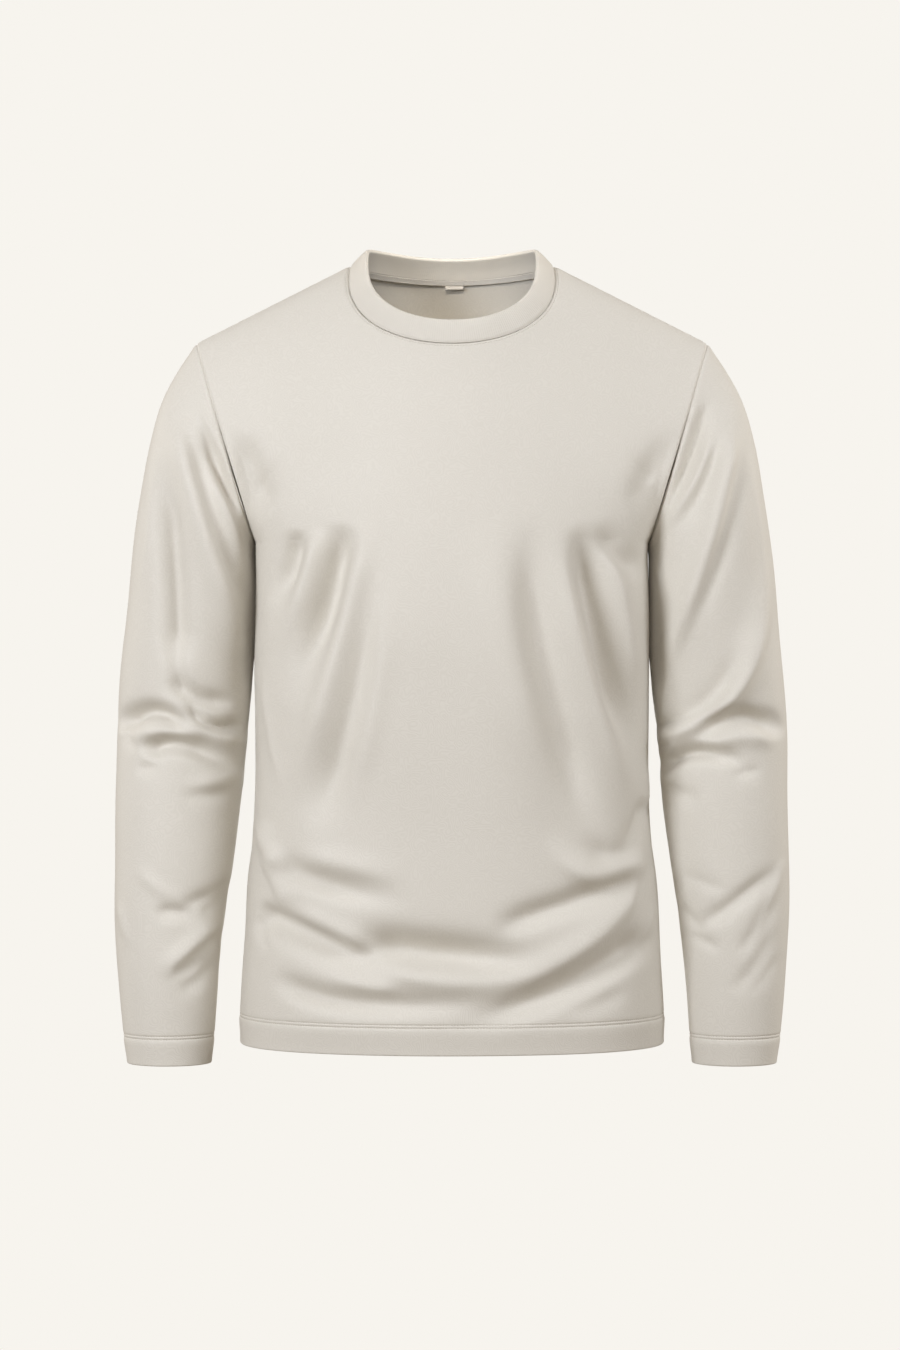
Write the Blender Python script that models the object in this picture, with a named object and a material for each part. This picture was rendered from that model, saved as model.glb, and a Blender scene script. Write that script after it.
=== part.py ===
"""Long-sleeve T-shirt in plain jersey, filled out as it hangs from a wearer's shoulders.

A maker cuts a front, a back and two sleeves, joins them at the shoulders, armholes and
sides, and turns up the hem and the cuffs. A neckband of folded rib closes the neck, and
a tape and a small blank label are sewn inside the back neck.

The tables are in millimetres. +Z is up and the front faces -Y. The origin lies midway
between the two high shoulder points, where the neck seam crosses the shoulder seams.
"""

from collections import namedtuple

import bpy
import numpy as np

MM = 0.001

# Driving sizes, in millimetres.
NECK_HALF = 91.0            # middle of the neck to a high shoulder point, which is at height 0
TIP_X, TIP_Z = 230.0, -70.0         # shoulder tip, the top of the armhole
ARMPIT_X, ARMPIT_Z = 176.0, -250.0  # underarm point, the foot of the armhole
HEM_Z = -697.0
JERSEY_WALL = 1.3           # the cloth with its nap, as a solid wall
TURNED_WALL = 2.4           # the same cloth folded double at the hem and the cuffs
TURN_UP = 24.0              # height of the hem and of the cuffs, up to their stitching
SEAM_GAP = 0.3              # clear distance between two pieces that are sewn together
ROUNDNESS = 2.3             # power of the superellipse that each level of the body follows
SEAM_BLEND = 4.0            # power that rounds the body's sides into the shoulder line
ARMHOLE_DEPTH = 58.0        # how far the body stands forward and back beside the armhole

# Half the body's width, and how far its middle stands forward and back, at each height.
TorsoLevel = namedtuple("TorsoLevel", "z half_width front back")
TORSO_LEVELS = (
    TorsoLevel(z=-697, half_width=192.0, front=118, back=117),
    TorsoLevel(z=-660, half_width=190.0, front=118, back=116),
    TorsoLevel(z=-600, half_width=186.0, front=117, back=112),
    TorsoLevel(z=-545, half_width=183.0, front=116, back=106),
    TorsoLevel(z=-520, half_width=179.5, front=116, back=103),
    TorsoLevel(z=-470, half_width=177.0, front=118, back=99),
    TorsoLevel(z=-400, half_width=177.0, front=122, back=100),
    TorsoLevel(z=-330, half_width=177.0, front=126, back=107),
    TorsoLevel(z=-250, half_width=176.0, front=124, back=114),
    TorsoLevel(z=-180, half_width=176.0, front=117, back=118),
    TorsoLevel(z=-120, half_width=176.0, front=108, back=115),
    TorsoLevel(z=-60, half_width=176.0, front=97, back=106),
    TorsoLevel(z=10, half_width=176.0, front=84, back=95),
)

# How each panel rounds over the shoulder line: its radius and its steady lean, at the
# middle of the neck and at the shoulder tip, and how far out the first gives way.
Shoulder = namedtuple("Shoulder", "neck_radius tip_radius neck_lean tip_lean spread")
FRONT_SHOULDER = Shoulder(neck_radius=17.6, tip_radius=10, neck_lean=0.50, tip_lean=0.28, spread=150)
BACK_SHOULDER = Shoulder(neck_radius=79.0, tip_radius=18, neck_lean=0.60, tip_lean=0.60, spread=85)

# Half of each neckline seen from the front, as the four points of a cubic Bezier curve.
CurvePoint = namedtuple("CurvePoint", "x z")
FRONT_NECKLINE = (CurvePoint(0, -76.4), CurvePoint(52, -76.4), CurvePoint(102, -52), CurvePoint(NECK_HALF, 0))
BACK_NECKLINE = (CurvePoint(0, -3.5), CurvePoint(50, -3.5), CurvePoint(82, 1), CurvePoint(NECK_HALF, 0))

# The sleeve on +X: its outer and under lines seen from the front, half its depth and
# where its middle lies from front to back. The first station is the armhole.
SleeveStation = namedtuple("SleeveStation", "outer_x outer_z under_x under_z half_depth middle_y")
SLEEVE_STATIONS = (
    SleeveStation(TIP_X, TIP_Z, ARMPIT_X, ARMPIT_Z, 54, 0),
    SleeveStation(245, -92, 178.4, -262, 58, 0),
    SleeveStation(259, -118, 178.7, -276, 61, 0),
    SleeveStation(272, -160, 179.0, -295, 62, 1),
    SleeveStation(281, -210, 179.2, -318, 62, 2),
    SleeveStation(288, -262, 179.2, -345, 60, 3),
    SleeveStation(294, -320, 179.4, -376, 56, 4),
    SleeveStation(299, -373, 181.0, -405, 53, 4),
    SleeveStation(301.5, -420, 185.5, -437, 51, 2),
    SleeveStation(302, -470, 189.0, -478, 50, -2),
    SleeveStation(302, -525, 195.5, -528, 47, -7),
    SleeveStation(302, -585, 203.5, -586, 44, -12),
    SleeveStation(297.5, -645, 209.5, -645, 39, -17),
    SleeveStation(293.0, -690, 212.5, -690, 34, -20),
    SleeveStation(290.5, -714, 213.8, -714, 32, -21),
)
ARMHOLE_FADE = 70.0         # distance along the sleeve over which the armhole's outline rounds out

# Rows of mesh: up a panel's side seam from the hem, and down a sleeve from the armhole.
# Each stretch runs on from the last one to its end, in so many rows.
Stretch = namedtuple("Stretch", "end rows")
SIDE_STRETCHES = (
    Stretch(end=TURN_UP - 1.5, rows=2),
    Stretch(end=TURN_UP + 1.5, rows=1),
    Stretch(end=180, rows=11),
    Stretch(end=ARMPIT_Z - HEM_Z, rows=12),
)
HEM_ROWS = 2                # rows of the panels and of the sleeves that lie in the turned-up cloth
ARMHOLE_ROWS = 10
SHOULDER_ROWS = 4
TAPE_WIDTH = 9.0            # also the height of the panels' last row of mesh, along the shoulder seam
EDGE_TURN = 0.62            # radians by which a row's turn falls short of a quarter at the shoulder tip
FRONT_HALF_COLUMNS = 14
BACK_HALF_COLUMNS = 10
SLEEVE_STRETCHES = (
    Stretch(end=0.40, rows=9),
    Stretch(end=0.60, rows=9),
    Stretch(end=0.96, rows=8),
)
CUFF_ROWS = 2

# The neckband, a strip of rib folded double. It stands steeper than the body cloth that it
# grows out of, most at the shoulders, and its outer face swells between seam and fold.
BAND_WIDTH = 22.0
BAND_WALL = 2.6
FRONT_STAND = 0.14          # radians, at the middle of the front and of the back
SHOULDER_STAND = 0.34       # radians, at the shoulder seams
BAND_SWELL = 0.7
BandPoint = namedtuple("BandPoint", "up across")    # shares of the band's width and of its wall
BAND_PROFILE = (
    BandPoint(0.0, 0.0), BandPoint(0.33, 0.0), BandPoint(0.67, 0.0), BandPoint(0.94, 0.1),
    BandPoint(1.0, 0.5), BandPoint(0.94, 0.9), BandPoint(0.5, 1.0), BandPoint(0.0, 1.0),
)

# The tape and the label lie inside the back. The label's middle is a little towards +X.
TAPE_WALL = 0.9
LABEL_MIDDLE_X = 2.4
LABEL_WIDTH = 17.0
LABEL_HEIGHT = 3.4
LABEL_WALL = 1.0

# Folds, seen from the front. Each one is a curve through three points, with the half-width
# of its trough or ridge and how far it moves the cloth outwards: less than nothing is a trough.
Fold = namedtuple("Fold", "x1 z1 x2 z2 x3 z3 width rise")
FRONT_FOLDS = (
    # Drawn down and outwards from under the chest.
    Fold(-105, -251, -119, -290, -142, -351, width=10, rise=-6),
    Fold(-91, -255, -110, -338, -136, -442, width=10, rise=4.5),
    Fold(-64, -245, -86, -320, -103, -403, width=13, rise=-6),
    Fold(-101, -381, -113, -442, -134, -502, width=13, rise=-4.5),
    Fold(54, -247, 70, -346, 91, -472, width=12, rise=-5.5),
    Fold(81, -242, 115, -338, 166, -483, width=10, rise=4.5),
    Fold(95, -249, 122, -320, 155, -394, width=11, rise=-6),
    Fold(135, -246, 152, -264, 175, -276, width=10, rise=-6),
    # Slack cloth in swags above the hem.
    Fold(72, -498, 120, -539, 171, -530, width=10, rise=6),
    Fold(-158, -533, -101, -542, -40, -554, width=11, rise=-6),
    Fold(-160, -556, -93, -572, -26, -556, width=11, rise=5),
    Fold(44, -587, 101, -563, 166, -546, width=12, rise=-8),
    Fold(-173, -577, -119, -590, -44, -633, width=11, rise=-7),
    Fold(-92, -593, -2, -603, 88, -596, width=12, rise=-8),
    Fold(-78, -613, 24, -637, 118, -602, width=12, rise=6),
    Fold(72, -621, 129, -586, 172, -549, width=11, rise=5),
    Fold(-150, -623, -71, -653, 44, -640, width=12, rise=-7),
    Fold(2, -671, 85, -636, 175, -593, width=12, rise=-8),
)
BACK_FOLDS = (
    Fold(-98, -262, -108, -352, -88, -468, width=13, rise=-5),
    Fold(104, -246, 112, -338, 99, -441, width=12, rise=-5.5),
    Fold(-62, -330, -66, -420, -48, -500, width=15, rise=3),
    Fold(-158, -508, -70, -541, 24, -530, width=10, rise=-7),
    Fold(-120, -533, -38, -561, 48, -549, width=11, rise=6),
    Fold(-22, -566, 62, -583, 158, -548, width=10, rise=-8),
    Fold(-30, -590, 55, -605, 140, -580, width=11, rise=5),
    Fold(-150, -590, -72, -622, 22, -618, width=10, rise=-8),
    Fold(30, -650, 100, -640, 170, -602, width=9, rise=-6),
)
LEFT_SLEEVE_FOLDS = (
    Fold(231, -157, 214, -194, 191, -233, width=10, rise=-5),
    Fold(244, -157, 222, -256, 200, -324, width=9, rise=5),
    Fold(251, -209, 229, -256, 202, -330, width=9, rise=-5),
    Fold(266, -302, 251, -390, 193, -428, width=10, rise=6),
    Fold(250, -365, 230, -387, 193, -404, width=9, rise=-6),
    Fold(216, -426, 257, -404, 300, -418, width=10, rise=-7),
    Fold(186, -459, 220, -436, 262, -444, width=10, rise=-6),
    Fold(225, -587, 256, -570, 293, -544, width=10, rise=-4),
    Fold(252, -648, 274, -618, 295, -579, width=10, rise=-4),
)
RIGHT_SLEEVE_FOLDS = (
    Fold(-220, -161, -207, -202, -181, -265, width=10, rise=-6),
    Fold(-238, -174, -217, -240, -195, -302, width=10, rise=-4),
    Fold(-258, -213, -253, -293, -248, -365, width=10, rise=-4),
    Fold(-251, -358, -230, -378, -196, -390, width=9, rise=-5),
    Fold(-300, -418, -266, -395, -220, -420, width=10, rise=-7),
    Fold(-292, -432, -258, -414, -222, -428, width=10, rise=5),
    Fold(-274, -442, -236, -429, -192, -440, width=10, rise=-6),
    Fold(-259, -576, -238, -572, -211, -586, width=9, rise=-4),
    Fold(-247, -628, -223, -616, -208, -591, width=9, rise=-4),
)
FOLD_SAMPLES = 25
SEAM_CALM = 14.0            # distance from a seam over which the folds die away


# Colours, as Blender's linear red, green and blue.
JERSEY_COLOUR = (0.70, 0.65, 0.57)
RIB_COLOUR = (0.69, 0.64, 0.56)
TAPE_COLOUR = (0.64, 0.58, 0.50)
LABEL_COLOUR = (0.76, 0.72, 0.65)


# ---------------------------------------------------------------- curves and tables

def through_rows(knots, values, at):
    """Cubic Hermite curve through a table's values, each slope taken from its neighbours."""
    knots, values = np.array(knots, float), np.array(values, float)
    slopes = np.gradient(values, knots)
    low = np.clip(np.searchsorted(knots, at) - 1, 0, len(knots) - 2)
    span = knots[low + 1] - knots[low]
    u = (at - knots[low]) / span
    return ((1 + 2 * u) * (1 - u) ** 2 * values[low] + u ** 2 * (3 - 2 * u) * values[low + 1]
            + u * (1 - u) ** 2 * span * slopes[low] - u ** 2 * (1 - u) * span * slopes[low + 1])


def torso(column, z):
    """One column of the torso table, read at the given heights."""
    return through_rows([level.z for level in TORSO_LEVELS],
                        [getattr(level, column) for level in TORSO_LEVELS], z)


def bezier(points, s):
    """Cubic Bezier curve: x and z at each parameter in s."""
    weights = ((1 - s) ** 3, 3 * s * (1 - s) ** 2, 3 * s ** 2 * (1 - s), s ** 3)
    x = sum(weight * point.x for weight, point in zip(weights, points))
    z = sum(weight * point.z for weight, point in zip(weights, points))
    return x, z


def smooth_step(x):
    """0 below 0, 1 above 1, and an S curve between."""
    x = np.clip(x, 0, 1)
    return x * x * (3 - 2 * x)


def unit(vectors):
    """Vectors scaled to length 1."""
    return vectors / np.linalg.norm(vectors, axis=-1, keepdims=True)


def stretch_marks(stretches):
    """Distances of all mesh rows along an edge that is divided into stretches."""
    marks = [0.0]
    for stretch in stretches:
        marks.extend(np.linspace(marks[-1], stretch.end, stretch.rows + 1)[1:])
    return np.array(marks)


# ---------------------------------------------------------------- the body's surface

def shoulder_line(x):
    """Height of the shoulder line: straight from the neck to the tip, a parabola across the neck."""
    slope = TIP_Z / (TIP_X - NECK_HALF)
    outside = slope * (x - NECK_HALF)
    across = slope * (x ** 2 - NECK_HALF ** 2) / (2 * NECK_HALF)
    return np.where(x > NECK_HALF, outside, across)


def armhole_share(z):
    """0 at the foot of the armhole, 1 at half its height and above, along a quarter circle."""
    middle, half = (TIP_Z + ARMPIT_Z) / 2, (TIP_Z - ARMPIT_Z) / 2
    down = np.clip((middle - z) / half, 0, 1)
    return np.sqrt(1 - down ** 2)


def armhole_x(z):
    """The armhole runs straight from the underarm point to the shoulder tip, seen from the front."""
    return ARMPIT_X + (TIP_X - ARMPIT_X) * (z - ARMPIT_Z) / (TIP_Z - ARMPIT_Z)


def body_depth(x, z, side, shoulder):
    """How far the body stands out from the middle plane: a superellipse at each level, closed
    above by a parabola over the shoulder line."""
    middle = torso(side, z)
    beside = ARMHOLE_DEPTH * armhole_share(z)
    reach = armhole_x(z) / (1 - (beside / middle) ** ROUNDNESS) ** (1 / ROUNDNESS)
    half_width = np.where(z > ARMPIT_Z, reach, torso("half_width", z))
    level = middle * np.clip(1 - (x / half_width) ** ROUNDNESS, 0, 1) ** (1 / ROUNDNESS)
    below = np.clip(shoulder_line(x) - z, 0, None)
    at_neck = np.exp(-(x / shoulder.spread) ** 2)
    radius = shoulder.tip_radius + (shoulder.neck_radius - shoulder.tip_radius) * at_neck
    lean = shoulder.tip_lean + (shoulder.neck_lean - shoulder.tip_lean) * at_neck
    over = np.sqrt(2 * radius * below + (lean * below) ** 2)
    both = (level ** SEAM_BLEND + over ** SEAM_BLEND) ** (1 / SEAM_BLEND)
    return level * over / np.maximum(both, 1e-6)


def panel_edge():
    """The panels' common edge on +X, from the hem up the side seam, round the armhole and
    along the shoulder seam to the neck: x, z, each row's share of the neckline's drop and of
    the neckline's own shape."""
    side_z = HEM_Z + stretch_marks(SIDE_STRETCHES)
    turn = np.linspace(np.pi, 0, ARMHOLE_ROWS + 1)[1:]
    arm_z = (TIP_Z + ARMPIT_Z) / 2 + (TIP_Z - ARMPIT_Z) / 2 * np.cos(turn)
    shoulder_x = np.linspace(TIP_X, NECK_HALF + TAPE_WIDTH, SHOULDER_ROWS + 1)[1:]
    shoulder_x = np.append(shoulder_x, NECK_HALF)
    x = np.concatenate([torso("half_width", side_z[:-1]), [ARMPIT_X], armhole_x(arm_z), shoulder_x])
    z = np.concatenate([side_z, arm_z, shoulder_line(shoulder_x)])
    climb = np.clip((z - ARMPIT_Z) / (TIP_Z - ARMPIT_Z), 0, 1) ** 1.5
    along = np.clip((z - TIP_Z) / -TIP_Z, 0, 1)
    return x, z, 0.75 * climb + 0.25 * along, along


def half_panel(side, shoulder, neckline, columns):
    """Grid of the +X half of a panel, rows from the hem up and columns from the middle out.

    A row starts at its edge point and drops towards the middle by its share of the neckline's
    drop. Its columns are evenly turned round the superellipse below the shoulder tip, and take
    on the neckline's own shape from there up."""
    edge_x, edge_z, drop, shape = (values[:, None] for values in panel_edge())
    s = np.linspace(0, 1, columns + 1)[None, :]
    neck_x, neck_z = bezier(neckline, s)
    turn = np.pi / 2 - EDGE_TURN * smooth_step((edge_z - ARMPIT_Z) / (TIP_Z - ARMPIT_Z))
    round_x = edge_x * np.sin(s * turn) / np.sin(turn)
    round_z = neck_z[0, 0] * np.cos(s * np.pi / 2) ** 2
    x = round_x + (edge_x * neck_x / NECK_HALF - round_x) * shape
    z = edge_z + drop * (round_z + (neck_z - round_z) * shape)
    y = body_depth(x, z, side, shoulder)
    return np.stack([x, y, z], axis=-1)


def front_panel():
    """Grid of the front, columns from -X to +X."""
    half = half_panel("front", FRONT_SHOULDER, FRONT_NECKLINE, FRONT_HALF_COLUMNS) * (1, -1, 1)
    return np.concatenate([half[:, :0:-1] * (-1, 1, 1), half], axis=1)


def back_panel():
    """Grid of the back, columns from +X to -X."""
    half = half_panel("back", BACK_SHOULDER, BACK_NECKLINE, BACK_HALF_COLUMNS)
    return np.concatenate([half[:, ::-1], half[:, 1:] * (-1, 1, 1)], axis=1)


# ---------------------------------------------------------------- the sleeves' surface

def sleeve(front, back):
    """Grid of the +X sleeve, rows from the cuff up and columns from the underarm line round
    the front, the top and the back. It starts at the panels' own armhole points."""
    rows = slice(len(front) - 1 - SHOULDER_ROWS - 1 - ARMHOLE_ROWS, len(front) - 1 - SHOULDER_ROWS)
    armhole = np.concatenate([front[rows, -1], back[rows, 0][::-1][1:]])
    turn = np.linspace(np.pi, -np.pi, len(armhole))[None, :]
    stations = np.array(SLEEVE_STATIONS)
    along = np.append(0, np.cumsum(np.hypot(*np.diff(stations[:, :2], axis=0).T)))
    marks = stretch_marks(SLEEVE_STRETCHES) * along[-1]
    cuff = along[-1] - np.array([TURN_UP + 1.5, TURN_UP - 1.5, TURN_UP / 2, 0])
    marks = np.concatenate([marks[:-1], cuff])[::-1]
    outer_x, outer_z, under_x, under_z, half_depth, middle_y = (
        through_rows(along, column, marks)[:, None] for column in stations.T)
    x = (outer_x + under_x) / 2 + (outer_x - under_x) / 2 * np.cos(turn)
    z = (outer_z + under_z) / 2 + (outer_z - under_z) / 2 * np.cos(turn)
    start = np.exp(-(marks[:, None] / ARMHOLE_FADE) ** 2)
    y = middle_y - (1 - start) * half_depth * np.sin(turn) + start * armhole[:, 1]
    return np.stack([x, y, z], axis=-1)


def mirrored(grid):
    """The same grid on the other side, with its columns still running to the right."""
    return grid[:, ::-1] * (-1, 1, 1)


# ---------------------------------------------------------------- folds

def fold_height(folds, x, z):
    """Sum of all folds at points seen from the front: each is a bell across its curve, and
    rises from nothing over the first third of its length and dies away over the last."""
    height = np.zeros_like(x)
    u = np.linspace(0, 1, FOLD_SAMPLES)
    for fold in folds:
        control_x = 2 * fold.x2 - (fold.x1 + fold.x3) / 2
        control_z = 2 * fold.z2 - (fold.z1 + fold.z3) / 2
        curve_x = (1 - u) ** 2 * fold.x1 + 2 * u * (1 - u) * control_x + u ** 2 * fold.x3
        curve_z = (1 - u) ** 2 * fold.z1 + 2 * u * (1 - u) * control_z + u ** 2 * fold.z3
        apart = np.hypot(x[..., None] - curve_x, z[..., None] - curve_z)
        nearest = np.argmin(apart, axis=-1)
        swell = smooth_step(3 * np.minimum(u, 1 - u))[nearest]
        height += fold.rise * swell * np.exp(-(apart.min(axis=-1) / fold.width) ** 2)
    return height


def edge_calm(grid, left=True, right=True, top=True):
    """0 on a grid's sewn edges, rising to 1 at SEAM_CALM from them."""
    calm = np.ones(grid.shape[:2])
    across = np.append(0, np.linalg.norm(np.diff(grid, axis=1), axis=2).mean(axis=0).cumsum())
    up = np.append(0, np.linalg.norm(np.diff(grid, axis=0), axis=2).mean(axis=1).cumsum())
    if left:
        calm *= smooth_step(across / SEAM_CALM)[None, :]
    if right:
        calm *= smooth_step((across[-1] - across) / SEAM_CALM)[None, :]
    if top:
        calm *= smooth_step((up[-1] - up) / SEAM_CALM)[:, None]
    return calm


def folded_panel(grid, folds):
    """A panel with its folds, which die away towards its seams."""
    normals = grid_normals(grid)
    height = fold_height(folds, grid[..., 0], grid[..., 2]) * edge_calm(grid)
    return grid + normals * height[..., None]


def folded_sleeve(grid, folds):
    """A sleeve with its folds: deepest in front, fading round to the line along the arm's outside,
    and similar ones behind."""
    normals = grid_normals(grid)
    calm = edge_calm(grid, left=False, right=False)
    facing = smooth_step(np.abs(normals[..., 1]) / 0.5)
    height = fold_height(folds, grid[..., 0], grid[..., 2]) * calm * facing
    return grid + normals * height[..., None]


# ---------------------------------------------------------------- walls and seams

def grid_normals(grid):
    """Outward unit normal at each grid point: columns run right and rows run up, seen from outside."""
    right = np.gradient(grid, axis=1)
    up = np.gradient(grid, axis=0)
    if np.allclose(grid[:, 0], grid[:, -1]):
        right[:, 0] = right[:, -1] = (grid[:, 1] - grid[:, -2]) / 2
    return unit(np.cross(right, up))


def seam_offsets(grids):
    """Direction and length, for a wall of 1, from each outer point to its inner one, and how far
    each outer point sinks. Where pieces meet, all take the middle of their normals, unless that
    lies too far from a piece's own. Pieces that turn away back to back there sink apart."""
    own = [grid_normals(grid).reshape(-1, 3) for grid in grids]
    points = np.concatenate([grid.reshape(-1, 3) for grid in grids])
    _, place = np.unique(np.round(points, 2), axis=0, return_inverse=True)
    place = place.ravel()
    shared = np.zeros((place.max() + 1, 3))
    start = 0
    for grid, normals in zip(grids, own):
        here = place[start:start + len(normals)]
        spots, counts = np.unique(here, return_counts=True)
        piece_sum = np.zeros_like(shared)
        np.add.at(piece_sum, here, normals)
        shared[spots] += piece_sum[spots] / counts[:, None]
        start += len(normals)
    offsets, sinks = [], []
    start = 0
    for grid, normals in zip(grids, own):
        common = unit(shared[place[start:start + len(normals)]] + 1e-9)
        agree = (common * normals).sum(axis=1, keepdims=True)
        offset = np.where(agree > 0.4, -common / np.clip(agree, 0.7, 1), -normals)
        offsets.append(offset.reshape(grid.shape))
        sinks.append((-normals * (1 - np.clip(agree, 0, 1)) * SEAM_GAP / 2).reshape(grid.shape))
        start += len(normals)
    return offsets, sinks


def pulled_in(grid, left=False, right=False, top=False):
    """A grid with the named edges drawn back along its surface by half the seam gap."""
    pulled = grid.copy()
    for wanted, edge, inside in ((left, np.s_[:, 0], np.s_[:, 1]), (right, np.s_[:, -1], np.s_[:, -2]),
                                 (top, np.s_[-1], np.s_[-2])):
        if wanted:
            pulled[edge] += unit(grid[inside] - grid[edge]) * SEAM_GAP / 2
    return pulled


def row_walls(count, turned):
    """Wall of each row of a grid whose first rows are turned up double."""
    walls = np.full(count, JERSEY_WALL)
    walls[:turned + 1] = TURNED_WALL
    return walls[:, None, None]


def add_piece(name, points, faces, material):
    """A named object from points in millimetres and faces that point outwards."""
    mesh = bpy.data.meshes.new(name)
    mesh.from_pydata((points * MM).tolist(), [], faces.tolist())
    mesh.materials.append(material)
    mesh.shade_smooth()
    mesh.set_sharp_from_angle(angle=np.radians(50))
    piece = bpy.data.objects.new(name, mesh)
    bpy.context.scene.collection.objects.link(piece)
    return piece


def two_triangles(a, b, c, d):
    """Triangles of the quads a b c d, whose corners are arrays of point numbers."""
    return np.concatenate([np.stack([a, b, c], -1).reshape(-1, 3), np.stack([a, c, d], -1).reshape(-1, 3)])


def wall_between(name, outer, inner, material, tube=False):
    """A closed wall between two matching grids. A tube's last column is its first again."""
    if tube:
        outer, inner = outer[:, :-1], inner[:, :-1]
    rows, columns = outer.shape[:2]
    out = np.arange(rows * columns).reshape(rows, columns)
    if tube:
        out = np.concatenate([out, out[:, :1]], axis=1)
    into = out + rows * columns
    faces = [two_triangles(out[:-1, :-1], out[:-1, 1:], out[1:, 1:], out[1:, :-1]),
             two_triangles(into[:-1, :-1], into[:-1, 1:], into[1:, 1:], into[1:, :-1])[:, ::-1]]
    edges = [out[0], out[-1, ::-1]]
    if not tube:
        edges += [out[:, -1], out[::-1, 0]]
    for edge in edges:
        here, there = edge[:-1], edge[1:]
        faces.append(two_triangles(there, here, here + rows * columns, there + rows * columns))
    points = np.concatenate([outer.reshape(-1, 3), inner.reshape(-1, 3)])
    return add_piece(name, points, np.concatenate(faces), material)


# ---------------------------------------------------------------- neckband, tape and label

def neckband_frame(front, back):
    """The neck seam's points from -X round the front and the back, with the direction in which
    the band stands and the band's outward normal at each."""
    seam = np.concatenate([front[-1, :-1], back[-1, :-1]])
    normals = np.concatenate([grid_normals(front)[-1, :-1], grid_normals(back)[-1, :-1]])
    corner = FRONT_HALF_COLUMNS * 2
    for here, other in ((0, grid_normals(back)[-1, -1]), (corner, grid_normals(front)[-1, -1])):
        normals[here] += other
    normals = unit(normals)
    along = unit(np.roll(seam, -1, axis=0) - np.roll(seam, 1, axis=0))
    onward = unit(np.cross(normals, along))
    turn = FRONT_STAND + (SHOULDER_STAND - FRONT_STAND) * (seam[:, :1] / NECK_HALF) ** 4
    stand = unit(np.cos(turn) * onward + np.sin(turn) * normals)
    return seam, stand, unit(np.cross(along, stand))


def neckband(front, back, material):
    """A closed ring: the profile of the folded rib, carried round the neck seam."""
    seam, stand, outward = neckband_frame(front, back)
    rings = []
    for point in BAND_PROFILE:
        up = SEAM_GAP / 2 + point.up * (BAND_WIDTH - SEAM_GAP / 2)
        swell = BAND_SWELL * np.sin(np.pi * point.up)
        rings.append(seam + stand * up + outward * (swell - point.across * BAND_WALL))
    grid = np.array(rings)
    rows, columns = grid.shape[:2]
    number = np.arange(rows * columns).reshape(rows, columns)
    number = np.pad(number, ((0, 1), (0, 1)), mode="wrap")
    faces = two_triangles(number[:-1, :-1], number[:-1, 1:], number[1:, 1:], number[1:, :-1])
    return add_piece("neckband", grid.reshape(-1, 3), faces, material)


def lying_inside(name, grid, offset, rows, columns, wall, material):
    """A flat piece on the inside of a panel, worked out from the panel's own points. rows and
    columns are numbers of grid lines, or places between them."""
    places = np.meshgrid(rows, columns, indexing="ij")
    low = [np.clip(np.floor(place).astype(int), 0, size - 2) for place, size in zip(places, grid.shape)]
    share = [(place - start)[..., None] for place, start in zip(places, low)]

    def between(values):
        left = values[low[0], low[1]] * (1 - share[0]) + values[low[0] + 1, low[1]] * share[0]
        right = values[low[0], low[1] + 1] * (1 - share[0]) + values[low[0] + 1, low[1] + 1] * share[0]
        return left * (1 - share[1]) + right * share[1]

    near = grid + offset * (JERSEY_WALL + SEAM_GAP)
    far = near + offset * wall
    return wall_between(name, between(near), between(far), material)


def neck_tape(back, offset, material):
    """The tape runs under the back neck seam, in the panel's last row of mesh, and stops one
    column short of each shoulder seam."""
    last = len(back) - 1
    return lying_inside("neck_tape", back, offset, (last - 1, last), np.arange(1, 2 * BACK_HALF_COLUMNS),
                        TAPE_WALL, material)


def label(back, offset, material):
    """The blank label hangs from the tape's lower edge, beside the middle of the back."""
    row, middle = len(back) - 2, BACK_HALF_COLUMNS
    step_down = np.linalg.norm(back[row, middle] - back[row - 1, middle])
    step_along = np.linalg.norm(back[row, middle] - back[row, middle - 1])
    rows = row - np.array([SEAM_GAP + LABEL_HEIGHT, SEAM_GAP]) / step_down
    ends = LABEL_MIDDLE_X + np.array([0.5, 0.0, -0.5]) * LABEL_WIDTH
    ends[1] = 0.0                               # the panel bends at its middle column
    return lying_inside("label", back, offset, rows, middle - ends / step_along, LABEL_WALL, material)


# ---------------------------------------------------------------- materials and assembly

def cloth_material(name, colour, roughness):
    """Plain Principled cloth in one colour."""
    material = bpy.data.materials.new(name)
    material.use_nodes = True
    shader = material.node_tree.nodes["Principled BSDF"]
    shader.inputs["Base Color"].default_value = (*colour, 1)
    shader.inputs["Roughness"].default_value = roughness
    shader.inputs["Metallic"].default_value = 0
    material.diffuse_color = (*colour, 1)
    return material


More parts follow.
